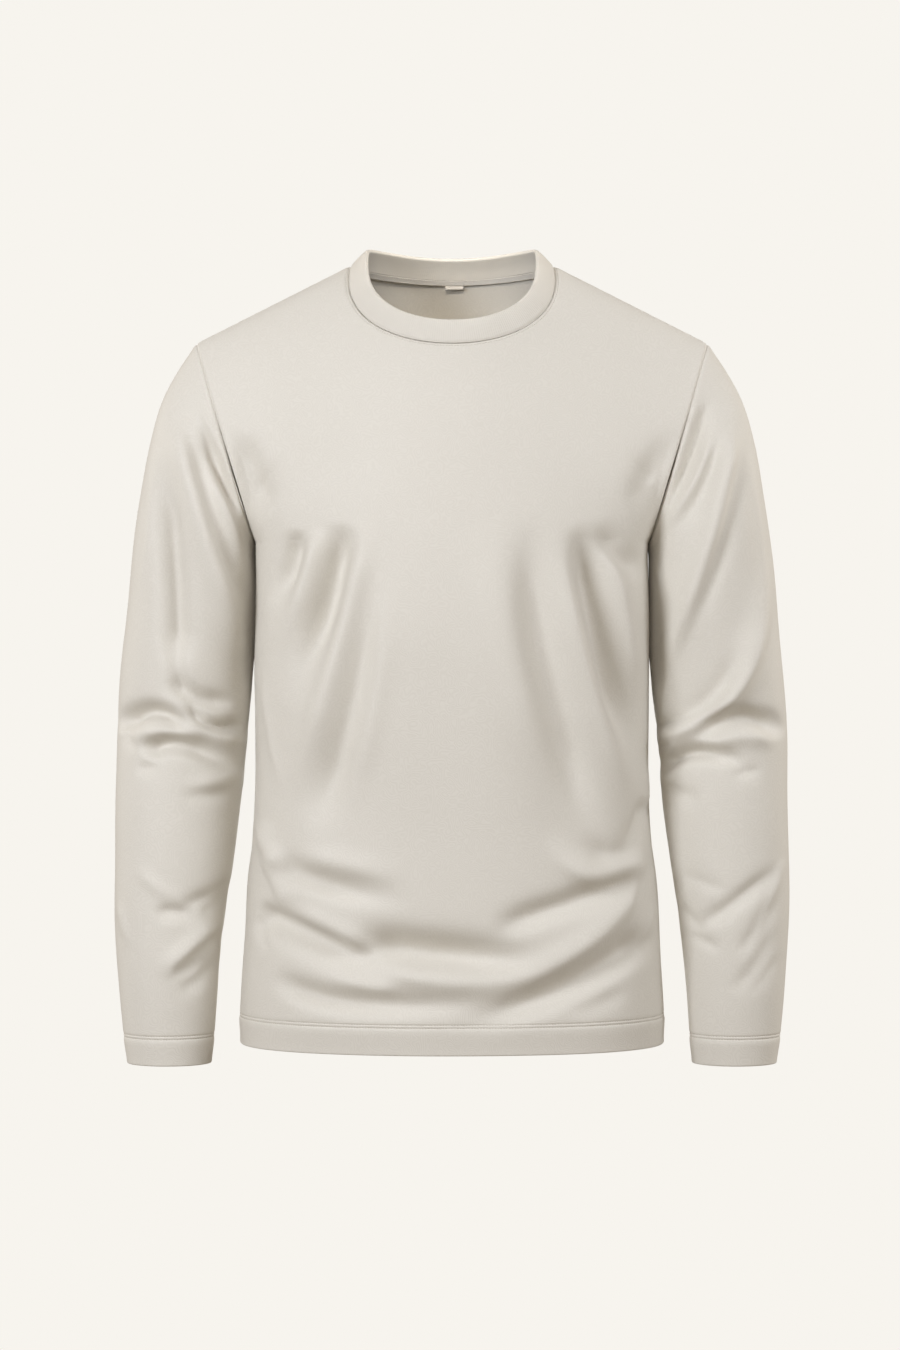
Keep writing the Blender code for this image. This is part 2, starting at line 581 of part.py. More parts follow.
def build():
    """All pieces of the shirt, in their places."""
    for leftover in list(bpy.data.objects):
        bpy.data.objects.remove(leftover)
    front, back = front_panel(), back_panel()
    left = sleeve(front, back)
    right = mirrored(left)
    front, back = folded_panel(front, FRONT_FOLDS), folded_panel(back, BACK_FOLDS)
    left, right = folded_sleeve(left, LEFT_SLEEVE_FOLDS), folded_sleeve(right, RIGHT_SLEEVE_FOLDS)
    neckband(front, back, cloth_material("neckband_rib", RIB_COLOUR, 0.9))

    grids = [front, back, left, right]
    offsets, sinks = seam_offsets(grids)
    names = ("front", "back", "sleeve_left", "sleeve_right")
    for name, grid, offset, sink in zip(names, grids, offsets, sinks):
        tube = name.startswith("sleeve")
        sewn = dict(top=True, left=not tube, right=not tube)
        walls = row_walls(len(grid), CUFF_ROWS if tube else HEM_ROWS)
        outer = pulled_in(grid + sink, **sewn)
        inner = pulled_in(grid + sink + offset * walls, **sewn)
        wall_between(name, outer, inner, cloth_material(name + "_jersey", JERSEY_COLOUR, 0.85), tube)

    back_offset = offsets[1]
    back = pulled_in(back, top=True)
    neck_tape(back, back_offset, cloth_material("neck_tape_twill", TAPE_COLOUR, 0.9))
    label(back, back_offset, cloth_material("label_satin", LABEL_COLOUR, 0.6))


build()
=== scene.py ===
# Long-sleeve t-shirt in plain jersey, filled out as it hangs from a wearer's shoulders.
# Sizes are in millimetres, and become metres where a mesh is made. +Z is up and the front faces -Y.

import bpy
import numpy as np
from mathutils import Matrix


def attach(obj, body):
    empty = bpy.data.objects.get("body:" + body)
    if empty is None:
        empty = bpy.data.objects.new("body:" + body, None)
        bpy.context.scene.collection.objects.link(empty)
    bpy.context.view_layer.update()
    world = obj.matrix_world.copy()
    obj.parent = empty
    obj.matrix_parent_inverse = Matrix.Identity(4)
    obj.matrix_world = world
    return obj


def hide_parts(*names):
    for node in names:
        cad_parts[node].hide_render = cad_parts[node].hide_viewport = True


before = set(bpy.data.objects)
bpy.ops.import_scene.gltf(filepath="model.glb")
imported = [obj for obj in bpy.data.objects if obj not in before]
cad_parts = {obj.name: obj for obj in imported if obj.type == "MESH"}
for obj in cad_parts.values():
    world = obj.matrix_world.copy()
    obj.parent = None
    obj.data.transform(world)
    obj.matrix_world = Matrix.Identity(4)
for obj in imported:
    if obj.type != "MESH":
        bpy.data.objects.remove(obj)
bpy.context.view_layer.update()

mm = 0.001

cut = dict(
    neckHalf=91.0,  # middle of the neck to the high shoulder point, at height 0
    tipX=230.0, tipZ=-70.0,  # shoulder tip, the top of the armhole
    armpitX=176.0, armpitZ=-250.0,  # underarm point, the foot of the armhole
    hemZ=-697.0,
    turnUp=24.0,  # hem and cuffs, up to their lower row of stitches
    roundness=2.3,  # power of the superellipse at each level of the body
    seamBlend=4.0,  # power that rounds the body's sides into the shoulder line
    armholeDepth=58.0,  # how far forward and back the body stands beside the armhole
    armholeFade=70.0,  # length of sleeve over which the armhole's outline rounds out
    edgeTurn=0.62,  # radians by which a row's turn falls short of a quarter at the shoulder tip
    tipDrop=0.75,  # share of the neckline's drop that the row from the shoulder tip has
    dropPower=1.5,  # how late that drop sets in, up the armhole
)

# height, half the width, how far the middle stands forward, and back
torsoLevels = np.array([
    (-697, 192, 118, 117),
    (-660, 190, 118, 116),
    (-600, 186, 117, 112),
    (-545, 183, 116, 106),
    (-520, 179.5, 116, 103),
    (-470, 177, 118, 99),
    (-400, 177, 122, 100),
    (-330, 177, 126, 107),
    (-250, 176, 124, 114),
    (-180, 176, 117, 118),
    (-120, 176, 108, 115),
    (-60, 176, 97, 106),
    (10, 176, 84, 95),
], float)
torsoColumn = dict(halfWidth=1, front=2, back=3)

# How each panel rounds over the shoulder line, at the neck and at the shoulder tip
frontShoulder = dict(neckRadius=17.6, tipRadius=10.0, neckLean=0.50, tipLean=0.28, spread=150.0)
backShoulder = dict(neckRadius=79.0, tipRadius=18.0, neckLean=0.60, tipLean=0.60, spread=85.0)

# Half of each neckline from the front: x and z of the four points of a cubic Bezier curve
frontNeckline = np.array([(0, -76.4), (52, -76.4), (102, -52), (91, 0)], float)
backNeckline = np.array([(0, -3.5), (50, -3.5), (82, 1), (91, 0)], float)

# The sleeve on +X: outer line x and z, under line x and z, half its depth, its middle's y. The form is
# the solids', but above the elbow the under line lies closer, so that the sleeve touches the body
sleeveStations = np.array([
    (230, -70, 176, -250, 54, 0),
    (245, -92, 176.1, -262, 58, 0),
    (259, -118, 175.7, -276, 61, 0),
    (272, -160, 175.4, -295, 62, 1),
    (281, -210, 175.4, -318, 62, 2),
    (288, -262, 176.2, -345, 60, 3),
    (294, -320, 179.6, -376, 56, 4),
    (299, -373, 183, -405, 53, 4),
    (301.5, -420, 185.5, -437, 51, 2),
    (302, -470, 189, -478, 50, -2),
    (302, -525, 195.5, -528, 47, -7),
    (302, -585, 203.5, -586, 44, -12),
    (297.5, -645, 209.5, -645, 39, -17),
    (293, -690, 212.5, -690, 34, -20),
    (290.5, -714, 213.8, -714, 32, -21),
], float)


# Cubic Hermite curve through a table's values, each slope taken from its neighbours
def throughRows(knots, values, at):
    slopes = np.gradient(values, knots)
    low = np.clip(np.searchsorted(knots, at) - 1, 0, len(knots) - 2)
    span = knots[low + 1] - knots[low]
    u = (at - knots[low]) / span
    return ((1 + 2 * u) * (1 - u) ** 2 * values[low] + u ** 2 * (3 - 2 * u) * values[low + 1]
            + u * (1 - u) ** 2 * span * slopes[low] - u ** 2 * (1 - u) * span * slopes[low + 1])


# A column of the torso's table at any height
def torso(name, z):
    return throughRows(torsoLevels[:, 0], torsoLevels[:, torsoColumn[name]], z)


# Cubic Bezier curve: the four points weighted by (1-s)^3, 3s(1-s)^2, 3s^2(1-s) and s^3
def bezier(points, s):
    weights = ((1 - s) ** 3, 3 * s * (1 - s) ** 2, 3 * s ** 2 * (1 - s), s ** 3)
    return [sum(weight * value for weight, value in zip(weights, column)) for column in points.T]


# 0 below 0, 1 above 1 and 3x^2 - 2x^3 between
def smoothStep(x):
    x = np.clip(x, 0, 1)
    return x * x * (3 - 2 * x)


# A bell round zero: exp(-(x / width)^2)
def bell(x, width):
    return np.exp(-(x / width) ** 2)


# Whole steps either side of zero, each with its share of a bell
def bellShares(steps, reach):
    offsets = np.arange(-steps, steps + 1)
    weights = bell(offsets, reach)
    return list(zip(offsets, weights / weights.sum()))


# From one value to another by a share: a + (b - a) share
def mixed(a, b, share):
    return a + (b - a) * share


# A bell of some height, whose middle is away from zero
def ridge(x, height, middle, width):
    return height * bell(x - middle, width)


# From a low share where a stretch starts to 1 at its end, by a smooth step
def growing(at, low, start, stretch):
    return mixed(low, 1, smoothStep((at - start) / stretch))


def unit(vectors):
    return vectors / np.linalg.norm(vectors, axis=-1, keepdims=True)


# Distance travelled up to each point of an array, along one axis
def travelled(points, axis=0):
    sums = np.linalg.norm(np.diff(points, axis=axis), axis=-1).cumsum(axis=axis)
    return np.concatenate([np.zeros_like(sums.take([0], axis)), sums], axis=axis)


# A table's columns, given at the distances run, read at others
def readAt(where, run, table):
    return np.stack([np.interp(where, run, column) for column in table.T], axis=-1)


# Marks along a length, a step apart, with closer ones at the near distances either side of each spot
def marksAlong(length, step, spots, near):
    near = np.concatenate([-np.array(near[::-1]), [0], near])
    fine = (np.array(spots)[:, None] + near).ravel()
    fine = np.unique(np.round(fine[(fine >= 0) & (fine <= length)], 3))
    even = np.linspace(0, length, int(round(length / step)) + 1)
    clear = np.abs(even[:, None] - fine).min(axis=1) > 0.5 * min(step, near[-1])
    return np.unique(np.concatenate([[0, length], fine, even[clear]]))


# The body's height over x: straight from the neck to the shoulder tip, and a parabola across the neck
def shoulderLine(x):
    slope = cut["tipZ"] / (cut["tipX"] - cut["neckHalf"])
    outside = slope * (x - cut["neckHalf"])
    across = slope * (x ** 2 - cut["neckHalf"] ** 2) / (2 * cut["neckHalf"])
    return np.where(x > cut["neckHalf"], outside, across)


armholeHalf = (cut["tipZ"] - cut["armpitZ"]) / 2


# Share of the way up the armhole
def armholeClimb(z):
    return (z - cut["armpitZ"]) / (2 * armholeHalf)


# The armhole seen from the front: a straight line from the underarm point to the shoulder tip
def armholeX(z):
    return mixed(cut["armpitX"], cut["tipX"], armholeClimb(z))


# Heights round the armhole, by the cosine of a turn from pi at the underarm point to 0 at the tip
def armholeZ(turn):
    return cut["tipZ"] - armholeHalf + armholeHalf * np.cos(turn)


# Half the width of each level: of the torso up to the underarm, and above it as wide as takes the
# superellipse |x/a|^n + |y/b|^n = 1 through the armhole's edge
def levelWidth(z, side):
    n = cut["roundness"]
    down = np.clip((cut["tipZ"] - armholeHalf - z) / armholeHalf, 0, 1)
    beside = cut["armholeDepth"] * np.sqrt(1 - down ** 2)
    reach = armholeX(z) / (1 - (beside / torso(side, z)) ** n) ** (1 / n)
    return np.where(z > cut["armpitZ"], reach, torso("halfWidth", z))


evening = dict(levels=5, step=13.0, reach=2.6, edge=0.3)  # edge: share of a row over which it sets in


# How far the body stands from its middle plane: that superellipse at each level, closed above by
# y^2 = 2 r h + (lean h)^2 at a depth h below the shoulder line. Away from the panel's edge, by inside
# from 0 to 1, the widths are evened out over the levels above and below
def bodyDepth(x, z, side, shoulder, inside=0.0):
    n, m = cut["roundness"], cut["seamBlend"]
    even = sum(share * levelWidth(z + evening["step"] * offset, side)
               for offset, share in bellShares(evening["levels"], evening["reach"]))
    halfWidth = mixed(levelWidth(z, side), even, inside)
    level = torso(side, z) * np.clip(1 - (np.abs(x) / halfWidth) ** n, 0, 1) ** (1 / n)
    below = np.clip(shoulderLine(np.abs(x)) - z, 0, None)
    atNeck = bell(x, shoulder["spread"])
    radius = mixed(shoulder["tipRadius"], shoulder["neckRadius"], atNeck)
    lean = mixed(shoulder["tipLean"], shoulder["neckLean"], atNeck)
    over = np.sqrt(2 * radius * below + (lean * below) ** 2)
    return level * over / np.maximum((level ** m + over ** m) ** (1 / m), 1e-6)


# Rows of a panel along the shoulder seam: x, z, share of the neckline's drop, share of its shape
def shoulderRows(x):
    z = shoulderLine(x)
    along = np.clip((z - cut["tipZ"]) / -cut["tipZ"], 0, 1)
    return np.stack([x, z, mixed(cut["tipDrop"], 1, along), along])


# All rows of a panel: up the side seam, round the armhole and along the shoulder seam
def panelRows(upSide, turn, shoulderX):
    sideZ = cut["hemZ"] + upSide
    none = np.zeros_like(sideZ)
    sideX = torso("halfWidth", sideZ)
    sideX[-1] = cut["armpitX"]
    armZ = armholeZ(turn)
    drop = cut["tipDrop"] * np.clip(armholeClimb(armZ), 0, 1) ** cut["dropPower"]
    arm = np.stack([armholeX(armZ), armZ, drop, np.zeros_like(armZ)])
    return np.concatenate([np.stack([sideX, sideZ, none, none]), arm, shoulderRows(shoulderX)], axis=1)


# The +X half of a panel. A row starts at its edge point and drops to the middle by its share of the
# neckline; its columns, at s from the middle out, are evenly turned round the superellipse
def halfPanel(side, shoulder, neckline, rows, s):
    edgeX, edgeZ, drop, shape = rows[:, :, None]
    s = s[None, :]
    neckX, neckZ = bezier(neckline, s)
    turn = np.pi / 2 - cut["edgeTurn"] * smoothStep(armholeClimb(edgeZ))
    roundX = edgeX * np.sin(s * turn) / np.sin(turn)
    roundZ = neckZ[0, 0] * np.cos(s * np.pi / 2) ** 2
    x = mixed(roundX, edgeX * neckX / cut["neckHalf"], shape)
    z = edgeZ + drop * mixed(roundZ, neckZ, shape)
    inside = smoothStep((1 - s) / evening["edge"])
    return np.stack([x, bodyDepth(x, z, side, shoulder, inside), z], axis=-1)


# Columns run to the right as each panel is seen from outside
def frontPanel(rows, s):
    half = halfPanel("front", frontShoulder, frontNeckline, rows, s)
    return np.concatenate([half[:, :0:-1] * (-1, -1, 1), half * (1, -1, 1)], axis=1)


def backPanel(rows, s):
    half = halfPanel("back", backShoulder, backNeckline, rows, s)
    return np.concatenate([half[:, ::-1], half[:, 1:] * (-1, 1, 1)], axis=1)


sleeveRun = travelled(sleeveStations[:, :2])


# The +X sleeve, rows up from the cuff and columns from the underarm round the front, top and back: an
# ellipse at each row, which near the armhole gives way to the armhole's own outline
def sleeveTube(armholeY, turn, up):
    marks = sleeveRun[-1] - up
    outerX, outerZ, underX, underZ, halfDepth, middleY = (
        throughRows(sleeveRun, column, marks)[:, None] for column in sleeveStations.T)
    x = (outerX + underX) / 2 + (outerX - underX) / 2 * np.cos(turn)
    z = (outerZ + underZ) / 2 + (outerZ - underZ) / 2 * np.cos(turn)
    start = bell(marks[:, None], cut["armholeFade"])
    y = middleY - (1 - start) * halfDepth * np.sin(turn) + start * armholeY
    return np.stack([x, y, z], axis=-1)


# Outward unit normals: the cross product of the steps to the right and up
def gridNormals(grid, tube=False):
    right, up = np.gradient(grid, axis=1), np.gradient(grid, axis=0)
    if tube:
        right[:, 0] = right[:, -1] = (grid[:, 1] - grid[:, -2]) / 2
    return unit(np.cross(right, up))


batch = 4000  # points measured at a time


# Shortest distance from each point to a line of points
def distanceTo(points, line):
    flat, start, run = points.reshape(-1, 3), line[:-1], np.diff(line, axis=0)
    length = np.maximum((run ** 2).sum(axis=1), 1e-9)
    found = np.empty(len(flat))
    for first in range(0, len(flat), batch):
        away = flat[first:first + batch, None] - start
        share = np.clip((away * run).sum(axis=2) / length, 0, 1)
        found[first:first + batch] = np.linalg.norm(away - share[..., None] * run, axis=2).min(axis=1)
    return found.reshape(points.shape[:-1])


# Folds, seen from the front. Each is a curve from its strong end through a middle to its tail: x,z of the
# three, half-widths to its left and right, rise, per cent that swells and that fades, widening if it has one
frontFolds = (
    # a fan drawn down and out from under the chest, on -X
    (-135,-239, -142,-272, -161,-317, 8.5,8, -11, 35,45, 1.2),
    (-118,-239, -126,-284, -154,-355, 8.5,8.5, 7.5, 35,40, 1.2),
    (-94,-234, -108,-301, -144,-400, 14,13, -18, 30,45, 1.1),
    (-81,-230, -97,-343, -138,-481, 13,12, 11, 25,30, 1.1),
    (-75,-265, -85,-381, -123,-511, 15.5,14, -10.5, 40,25),
    (-61,-268, -70,-390, -99,-497, 12,19, 5, 40,40),
    # and on +X
    (33,-225, 48,-355, 86,-507, 18,22.5, 6.8, 40,40),
    (67,-222, 84,-364, 130,-516, 14.5,15.5, -13.5, 35,30),
    (93,-251, 119,-367, 163,-481, 8,8.5, 4.6, 35,25),
    (109,-234, 136,-338, 171,-473, 12,12, -22, 28,35, 1.1),
    (134,-251, 154,-322, 165,-400, 8,6, 4.3, 35,35),
    (125,-234, 145,-262, 173,-281, 12,8, -7.4, 40,30),
    # hollows beside the armholes
    (-187,-147, -178,-194, -156,-227, 12,15.5, -9, 35,35, 1.2),
    (190,-147, 176,-194, 151,-224, 15.5,12, -5, 35,35, 1.2),
    # short creases out of the armholes
    (-179,-213, -162,-191, -142,-177, 5,5, -2.4, 20,60, 1.5),
    (181,-198, 168,-186, 150,-172, 6,6, -2.4, 20,60, 1.5),
    # the line down the side of the fan
    (-166,-357, -161,-420, -144,-481, 4,4.5, 1.9, 30,40),
    # slack cloth in swags above the hem
    (-144,-524, -97,-533, -35,-544, 11,8.5, 3, 35,45),
    (-159,-530, -111,-550, -28,-563, 11,9.5, -10, 25,50),
    (-165,-492, -152,-533, -88,-568, 8,7, 5.5, 25,50, 1.2),
    (-170,-527, -155,-550, -146,-576, 11,4.5, 3.4, 30,30),
    (-144,-570, -101,-592, -43,-620, 9.5,6, 4.1, 30,40),
    (-175,-576, -116,-597, -24,-640, 8,13, -12.5, 15,45, 1.2),
    (-93,-601, -10,-610, 104,-620, 15.5,11, -20.5, 30,50),
    (-88,-613, -10,-632, 71,-628, 12,11, 6.2, 35,45),
    (16,-635, 99,-613, 161,-557, 13,10.5, 6.9, 40,20),
    (-116,-627, -74,-637, -36,-639, 8.5,6, 3.4, 40,35),
    (-159,-627, -84,-653, 54,-649, 9.5,8.5, -10.3, 30,50),
    (80,-504, 121,-545, 171,-525, 13,8, 6.4, 40,25),
    (113,-502, 138,-525, 167,-511, 8.5,8, -3.7, 40,30),
    (31,-589, 93,-570, 173,-544, 11,9.5, -10.3, 35,15),
    (-10,-679, 90,-644, 180,-594, 13,10.5, -13.8, 40,15),
    (168,-518, 161,-550, 145,-587, 5,10.5, 3.4, 30,30),
    (92,-661, 125,-656, 160,-638, 8,8, -2.5, 35,35),
    # pinched at the side seams
    (-176,-578, -169,-597, -161,-614, 4,4, -2.1, 30,40),
    (176,-567, 171,-595, 157,-625, 4,4, 2.1, 30,40),
    (175,-476, 165,-499, 152,-528, 7,8, -5.8, 30,35),
)
backFolds = (
    (-98,-252, -110,-352, -88,-480, 10,10, -5.4, 15,50, 1.5),
    (-76,-262, -84,-350, -58,-470, 9,9, 3, 20,50, 1.5),
    (-140,-250, -146,-320, -130,-400, 7,7, -3.6, 15,60, 1.5),
    (104,-240, 113,-338, 98,-448, 9.5,9.5, -5.6, 15,50, 1.5),
    (82,-252, 90,-340, 78,-430, 8,8, 2.8, 20,50, 1.5),
    (142,-246, 150,-300, 138,-372, 6.5,6.5, -3.6, 15,60, 1.4),
    (-62,-330, -66,-420, -46,-505, 14,14, 2.6, 30,40),
    (30,-300, 22,-400, 34,-500, 15,15, -2.4, 30,40),
    (-170,-500, -70,-541, 30,-529, 8,8, -4.6, 20,40),
    (-150,-526, -38,-561, 56,-548, 8,8, 3.5, 25,40),
    (170,-540, 62,-583, -28,-566, 8.5,8.5, -5, 15,40),
    (160,-566, 55,-606, -34,-590, 8,8, 3.5, 25,40),
    (-168,-580, -72,-622, 26,-618, 8.5,8.5, -4.8, 20,40),
    (-140,-606, -50,-646, 44,-640, 8,8, 3, 30,40),
    (178,-596, 100,-641, 20,-652, 8.5,8.5, -4.2, 20,40),
    (-170,-640, -110,-664, -50,-668, 7,7, -4, 30,40),
)
leftSleeveFolds = (
    # pulled from the armhole's seam down to the underarm
    (228,-120, 215,-164, 186,-227, 5.5,6, -7.4, 35,30, 1.1),
    (231,-146, 217,-194, 186,-243, 5,5.5, 4.9, 35,35),
    (237,-151, 224,-196, 196,-245, 9,5.5, -3.8, 35,40),
    (248,-143, 232,-240, 184,-376, 7,10.5, 10.1, 25,30),
    (253,-160, 239,-240, 208,-334, 9,8, -5.2, 35,40),
    (260,-160, 275,-249, 275,-337, 4,4, 1.6, 35,40),
    (168,-218, 172,-302, 177,-390, 14,15, -7, 35,20),
    # crumpled inside the elbow
    (278,-256, 255,-376, 180,-424, 8,12.5, 10.5, 40,15),
    (256,-337, 233,-387, 194,-409, 7,9.5, -6, 40,35),
    (175,-415, 193,-410, 219,-399, 5.5,5.5, -5.6, 30,45),
    (176,-434, 187,-432, 202,-425, 4.5,4.5, -4.7, 25,45),
    (210,-425, 256,-405, 299,-423, 8,7, -13.5, 25,25),
    (221,-433, 256,-423, 292,-431, 6,8, 4, 35,35),
    (186,-442, 217,-432, 255,-442, 8,5.5, 4.9, 25,35),
    (179,-457, 215,-436, 267,-450, 7,7, -13.5, 20,40),
    (243,-459, 260,-454, 278,-452, 6,6, -2.9, 40,40),
    (186,-463, 202,-473, 225,-478, 7,7, -3.6, 30,50),
    # soft wrinkles of the forearm
    (214,-594, 250,-568, 297,-533, 7,8, -5.6, 35,35),
    (194,-563, 210,-583, 225,-597, 5.5,5.5, -3.4, 40,40),
    (205,-598, 222,-603, 239,-613, 5.5,5.5, -3.1, 40,40),
    (248,-617, 271,-591, 291,-551, 7,8, -3.2, 35,35),
    (294,-530, 285,-561, 259,-621, 4.5,4.5, 2.2, 30,45),
    (242,-651, 268,-624, 289,-586, 7,8, -2.7, 35,35),
    (255,-656, 278,-634, 293,-611, 6,6, -1.5, 40,35),
    (200,-542, 221,-551, 253,-561, 6,6, -1.8, 40,45),
)
rightSleeveFolds = (
    # pulled from the armhole's seam down to the underarm
    (-225,-123, -209,-158, -189,-196, 4.5,4.5, 2.7, 35,35),
    (-225,-141, -208,-185, -180,-220, 8,7, -12.5, 40,12, 1.2),
    (-233,-139, -211,-192, -177,-293, 4.5,5, 4.3, 35,30),
    (-246,-139, -225,-213, -182,-364, 7,9.5, 7.5, 35,25, 1.3),
    (-235,-148, -215,-215, -183,-312, 8,7, -5.6, 35,25, 1.3),
    (-256,-169, -249,-275, -244,-362, 13.5,9.5, -13.5, 35,20),
    (-268,-174, -270,-240, -283,-312, 4,4, 1.5, 35,40),
    (-246,-337, -243,-362, -242,-390, 7,7, -4.9, 50,35),
    (-164,-218, -168,-302, -175,-390, 15,14, -7, 35,20),
    # crumpled inside the elbow
    (-251,-369, -225,-389, -187,-392, 9,6, -8, 30,30),
    (-233,-388, -217,-412, -180,-410, 5.5,6, -9.5, 30,20),
    (-262,-383, -225,-413, -180,-429, 7,7, 5.2, 40,20),
    (-300,-420, -268,-401, -223,-421, 8,8, -14.5, 20,30),
    (-290,-428, -253,-419, -217,-427, 8,7, 5.2, 35,30),
    (-274,-441, -240,-429, -182,-456, 8,8, -14, 22,35),
    (-239,-469, -209,-462, -182,-454, 8,8, 3.8, 40,20),
    (-242,-472, -217,-474, -189,-472, 7,7, -3.1, 40,30),
    (-284,-450, -271,-450, -255,-448, 5.5,5.5, -2.7, 45,45),
    (-296,-418, -288,-427, -281,-438, 5,5, -2.5, 35,45),
    # forearm
    (-265,-581, -246,-577, -219,-585, 6,7, -4.9, 40,40),
    (-244,-571, -217,-565, -189,-550, 7,7, -4.5, 40,25),
    (-225,-578, -210,-573, -194,-558, 5.5,5.5, -2.9, 40,30),
    (-258,-637, -232,-610, -203,-583, 9,6, 5.2, 35,30),
    (-251,-635, -225,-619, -198,-588, 7,7, -4.9, 40,25),
    (-248,-648, -223,-637, -205,-613, 8,8, -3.8, 40,30),
    (-296,-567, -292,-589, -284,-613, 4,4, 1.8, 35,45),
    (-281,-535, -260,-556, -230,-571, 6,6, 1.8, 40,45),
)

foldForm = dict(
    points=33, reach=2.8,  # points along each curve, and half-widths over which it is felt
    power=2.0, narrow=7.0, narrowPower=1.5,  # a trough narrower than this is sharper
)


# Sum of the folds at points seen from the front. Each is rise * exp(-(distance / width)^p), times a
# smooth step up over its first share and down over its last; its half-widths widen to the tail
def foldHeight(folds, x, z):
    height = np.zeros_like(x)
    u = np.linspace(0, 1, foldForm["points"])
    weights = np.stack([(1 - u) ** 2, 2 * u * (1 - u), u ** 2])
    for x1, z1, x2, z2, x3, z3, leftWidth, rightWidth, rise, swells, fades, *more in folds:
        widening = more[0] if more else 1
        line = np.array([(x1, z1), (2 * x2 - (x1 + x3) / 2, 2 * z2 - (z1 + z3) / 2), (x3, z3)]).T @ weights
        widest = max(leftWidth, rightWidth)
        reach = foldForm["reach"] * widest * max(widening, 1)
        near = ((x > line[0].min() - reach) & (x < line[0].max() + reach)
                & (z > line[1].min() - reach) & (z < line[1].max() + reach))
        start, run = line[:, :-1], np.diff(line, axis=1)
        awayX, awayZ = x[near][:, None] - start[0], z[near][:, None] - start[1]
        share = np.clip((awayX * run[0] + awayZ * run[1]) / (run ** 2).sum(axis=0), 0, 1)
        apart = np.hypot(awayX - share * run[0], awayZ - share * run[1])
        nearest = apart.argmin(axis=1)
        rank = np.arange(len(nearest))
        onLeft = (run[0] * awayZ - run[1] * awayX)[rank, nearest] > 0
        at = (nearest + share[rank, nearest]) / (len(u) - 1)
        swell = smoothStep(100 * at / swells) * smoothStep(100 * (1 - at) / fades)
        width = np.where(onLeft, leftWidth, rightWidth) * mixed(1, widening, at)
        power = foldForm["narrowPower"] if rise < 0 and widest < foldForm["narrow"] else foldForm["power"]
        height[near] += rise * swell * np.exp(-(apart[rank, nearest] / width) ** power)
    return height


ripple = dict(
    height=0.7, shortWave=37.0, longWave=61.0, crossWave=33.55, crossSlant=1.7, crossShare=0.4,
    phases=(1.0, 2.1, 0.7), front=0.6, back=3.9, left=1.7, right=5.2,  # where each piece's waves start
    calm=18.0,  # distance from a seam over which it sets in
)


# Slack of cloth that is never quite even: products of slow sine waves
def slack(x, z, phase):
    first, second, third = phase * np.array(ripple["phases"])
    a = np.sin(x / ripple["shortWave"] + z / ripple["longWave"] + first)
    b = np.sin(z / ripple["shortWave"] - x / ripple["longWave"] + second)
    c = np.sin((x + ripple["crossSlant"] * z) / ripple["crossWave"] + third)
    return ripple["height"] * (a * b + ripple["crossShare"] * c)


# Puckers along a seam: a sine whose phase drifts by a slower one
def puckers(along, height, wave, drift, driftWave):
    return height * np.sin(along / wave + drift * np.sin(along / driftWave))


# Each ridge's height, distance from the seam and width, and the puckers' height, wave, drift and its wave
lip = dict(
    roll=(-1.6, 0, 1.25), proud=(0.22, 4.0, 2.4), puckered=(1, 2.6, 2.4), pucker=(0.09, 1.15, 1.5, 9.0),
    inside=0.4,  # share on the inner face
)


# A sewn edge rolls in at the seam and stands a little proud beside it, with small puckers
def seamLip(apart, along):
    puckered = puckers(along, *lip["pucker"]) * ridge(apart, *lip["puckered"])
    return ridge(apart, *lip["roll"]) + ridge(apart, *lip["proud"]) + puckered


hem = dict(
    rowGap=2.7,  # between its two rows of stitches
    dent=-0.55, dentWidth=0.7,
    proud=0.35, proudBelow=0.4, proudFade=2.5,  # the double cloth below the stitches
    puckerWidth=4.5, pucker=(0.1, 1.25, 1.8, 11.0),
    draw=-1.9,  # towards its fold
    radius=1.0, rounded=0.93,  # of the fold, and the share of it that is rounded
    wall=1.9, wallBelow=1.2, wallFade=0.8,  # the cloth folded double
)
hemRows = (cut["turnUp"], cut["turnUp"] + hem["rowGap"])


# A turned-up edge: the dents of two rows of stitches, and the double cloth proud below them
def turnedEdge(up, along):
    dents = sum(ridge(up, hem["dent"], row, hem["dentWidth"]) for row in hemRows)
    double = hem["proud"] * smoothStep((cut["turnUp"] - hem["proudBelow"] - up) / hem["proudFade"])
    return dents + double + puckers(along, *hem["pucker"]) * ridge(up, 1, cut["turnUp"], hem["puckerWidth"])


# Below its stitches a turned-up edge draws in towards its fold
def tuckedIn(up):
    return hem["draw"] * smoothStep((cut["turnUp"] - up) / cut["turnUp"])


# The bottom edge is a fold, towards which a quarter circle takes the outside in and the inside out
def roundedEdge(up):
    r = hem["radius"]
    return r - np.sqrt(np.clip(r ** 2 - np.clip(r - up, 0, hem["rounded"] * r) ** 2, 0, None))


# A new object in the scene, its place in metres and its turn in radians
def inScene(name, data, place=(0, 0, 0), turn=(0, 0, 0)):
    made = bpy.data.objects.new(name, data)
    bpy.context.scene.collection.objects.link(made)
    made.location = place
    made.rotation_euler = turn
    return made


